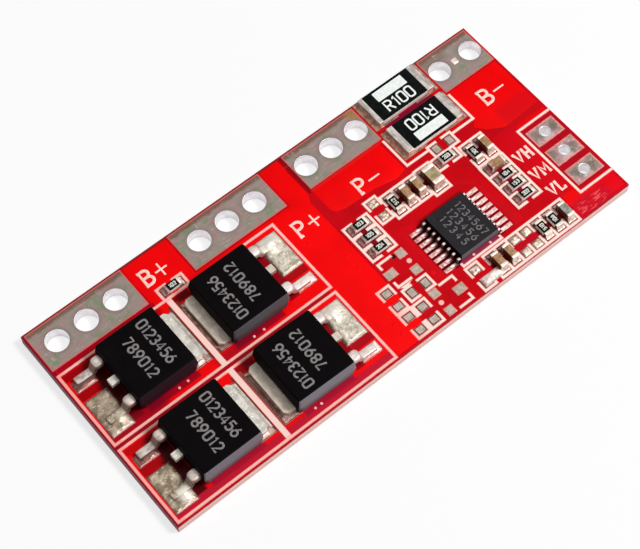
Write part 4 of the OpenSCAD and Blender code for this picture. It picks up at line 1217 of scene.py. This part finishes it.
at = middle("protection_chip_body")
marks = [(text, at.x + off, at.y - chip["printLower"], chip["letterHigh"], long, -90)
         for text, off, long in chip["lines"]]
level = high("protection_chip_body").z - chip["printHigh"]
lettering("chip_marks", marks, level, chip["stroke"], chip["printThick"], faintMark)

level = high("resistor_ends").z + small["coatHigh"]
lettering("chip_resistor_codes", codeMarks, level, small["codeStroke"], small["codeThick"],
          smallPrint)

level = high("sense_resistor_1_ends").z + sense["coatHigh"]
marks = []
shape = bmesh.new()
for k, ((x, y, turn), (spot, dims)) in enumerate(zip(sense["values"], sense["blocks"])):
    at = middle(f"sense_resistor_{k + 1}_body")
    marks.append(("R100", at.x + x, at.y + y, sense["valueHigh"], sense["valueLong"], turn))
    block(shape, place(at.x + spot[0], at.y + spot[1]), dims, [level + z for z in sense["blockLevels"]],
          *sense["blockRounds"])
lettering("sense_values", marks, level, sense["stroke"], sense["valueThick"], whitePrint)
settle("sense_print_blocks", shape, [whitePrint])
print("lettering done")

# Floor and light
studio = {
    "floorSize": 3000,
    "floorLevel": -0.02,
    "floorColour": (0.93, 0.93, 0.93, 1),
    "worldShare": 0.17,
    "background": 0.74,
    "lamps": [
        {"name": "key", "toward": (0.5, -0.42, 1.0), "far": 0.55, "size": 0.16, "share": 0.72},
        {"name": "top", "toward": (0.1, 0.1, 1.0), "far": 0.6, "size": 0.4, "share": 0.11},
    ],
}


def makeFloor(settings):
    shape = bmesh.new()
    half = settings["floorSize"] / 2
    corners = [(x * half, y * half, settings["floorLevel"]) for x, y in ((-1, -1), (1, -1), (1, 1), (-1, 1))]
    shape.faces.new([shape.verts.new(corner) for corner in corners])
    made = added("floor", inMetres("floor", shape))
    paper = Finish("floor_paper", {"Base Color": settings["floorColour"], "Roughness": 0.9,
                                   "Specular IOR Level": 0.1})
    white = paper.node("ShaderNodeEmission", {}, {"Color": (1, 1, 1, 1), "Strength": 1})
    both = paper.node("ShaderNodeMixShader", {}, {
        0: paper.seen() * settings["background"], 1: paper.shader.outputs[0], 2: white.outputs[0]})
    paper.tree.links.new(both.outputs[0], paper.tree.nodes["Material Output"].inputs["Surface"])
    made.data.materials.append(paper.material)


# share is how much of a plain level the lamp gives to a surface that faces up
def makeLamp(one):
    data = bpy.data.lights.new(one["name"], "AREA")
    data.shape = "DISK"
    data.size = one["size"]
    aim = Vector(one["toward"]).normalized()
    data.energy = one["share"] * math.pi ** 2 * one["far"] ** 2 / aim.z
    made = added(one["name"], data)
    made.location = aim * one["far"]
    made.rotation_euler = aim.to_track_quat("Z", "Y").to_euler()


# White to the eye and in reflections, softer as the light that falls on things
def makeWorld(settings):
    world = bpy.data.worlds.new("studio")
    world.use_nodes = True
    bpy.context.scene.world = world
    nodes = Nodes(world.node_tree)
    strength = nodes.seen() * (1 - settings["worldShare"]) + settings["worldShare"]
    light = nodes.node("ShaderNodeBackground", {}, {"Color": (1, 1, 1, 1), "Strength": strength})
    nodes.node("ShaderNodeOutputWorld", {}, {"Surface": light.outputs[0]})


makeFloor(studio)
for one in studio["lamps"]:
    makeLamp(one)
makeWorld(studio)
bpy.context.scene.view_settings.view_transform = "Standard"
print("studio done")
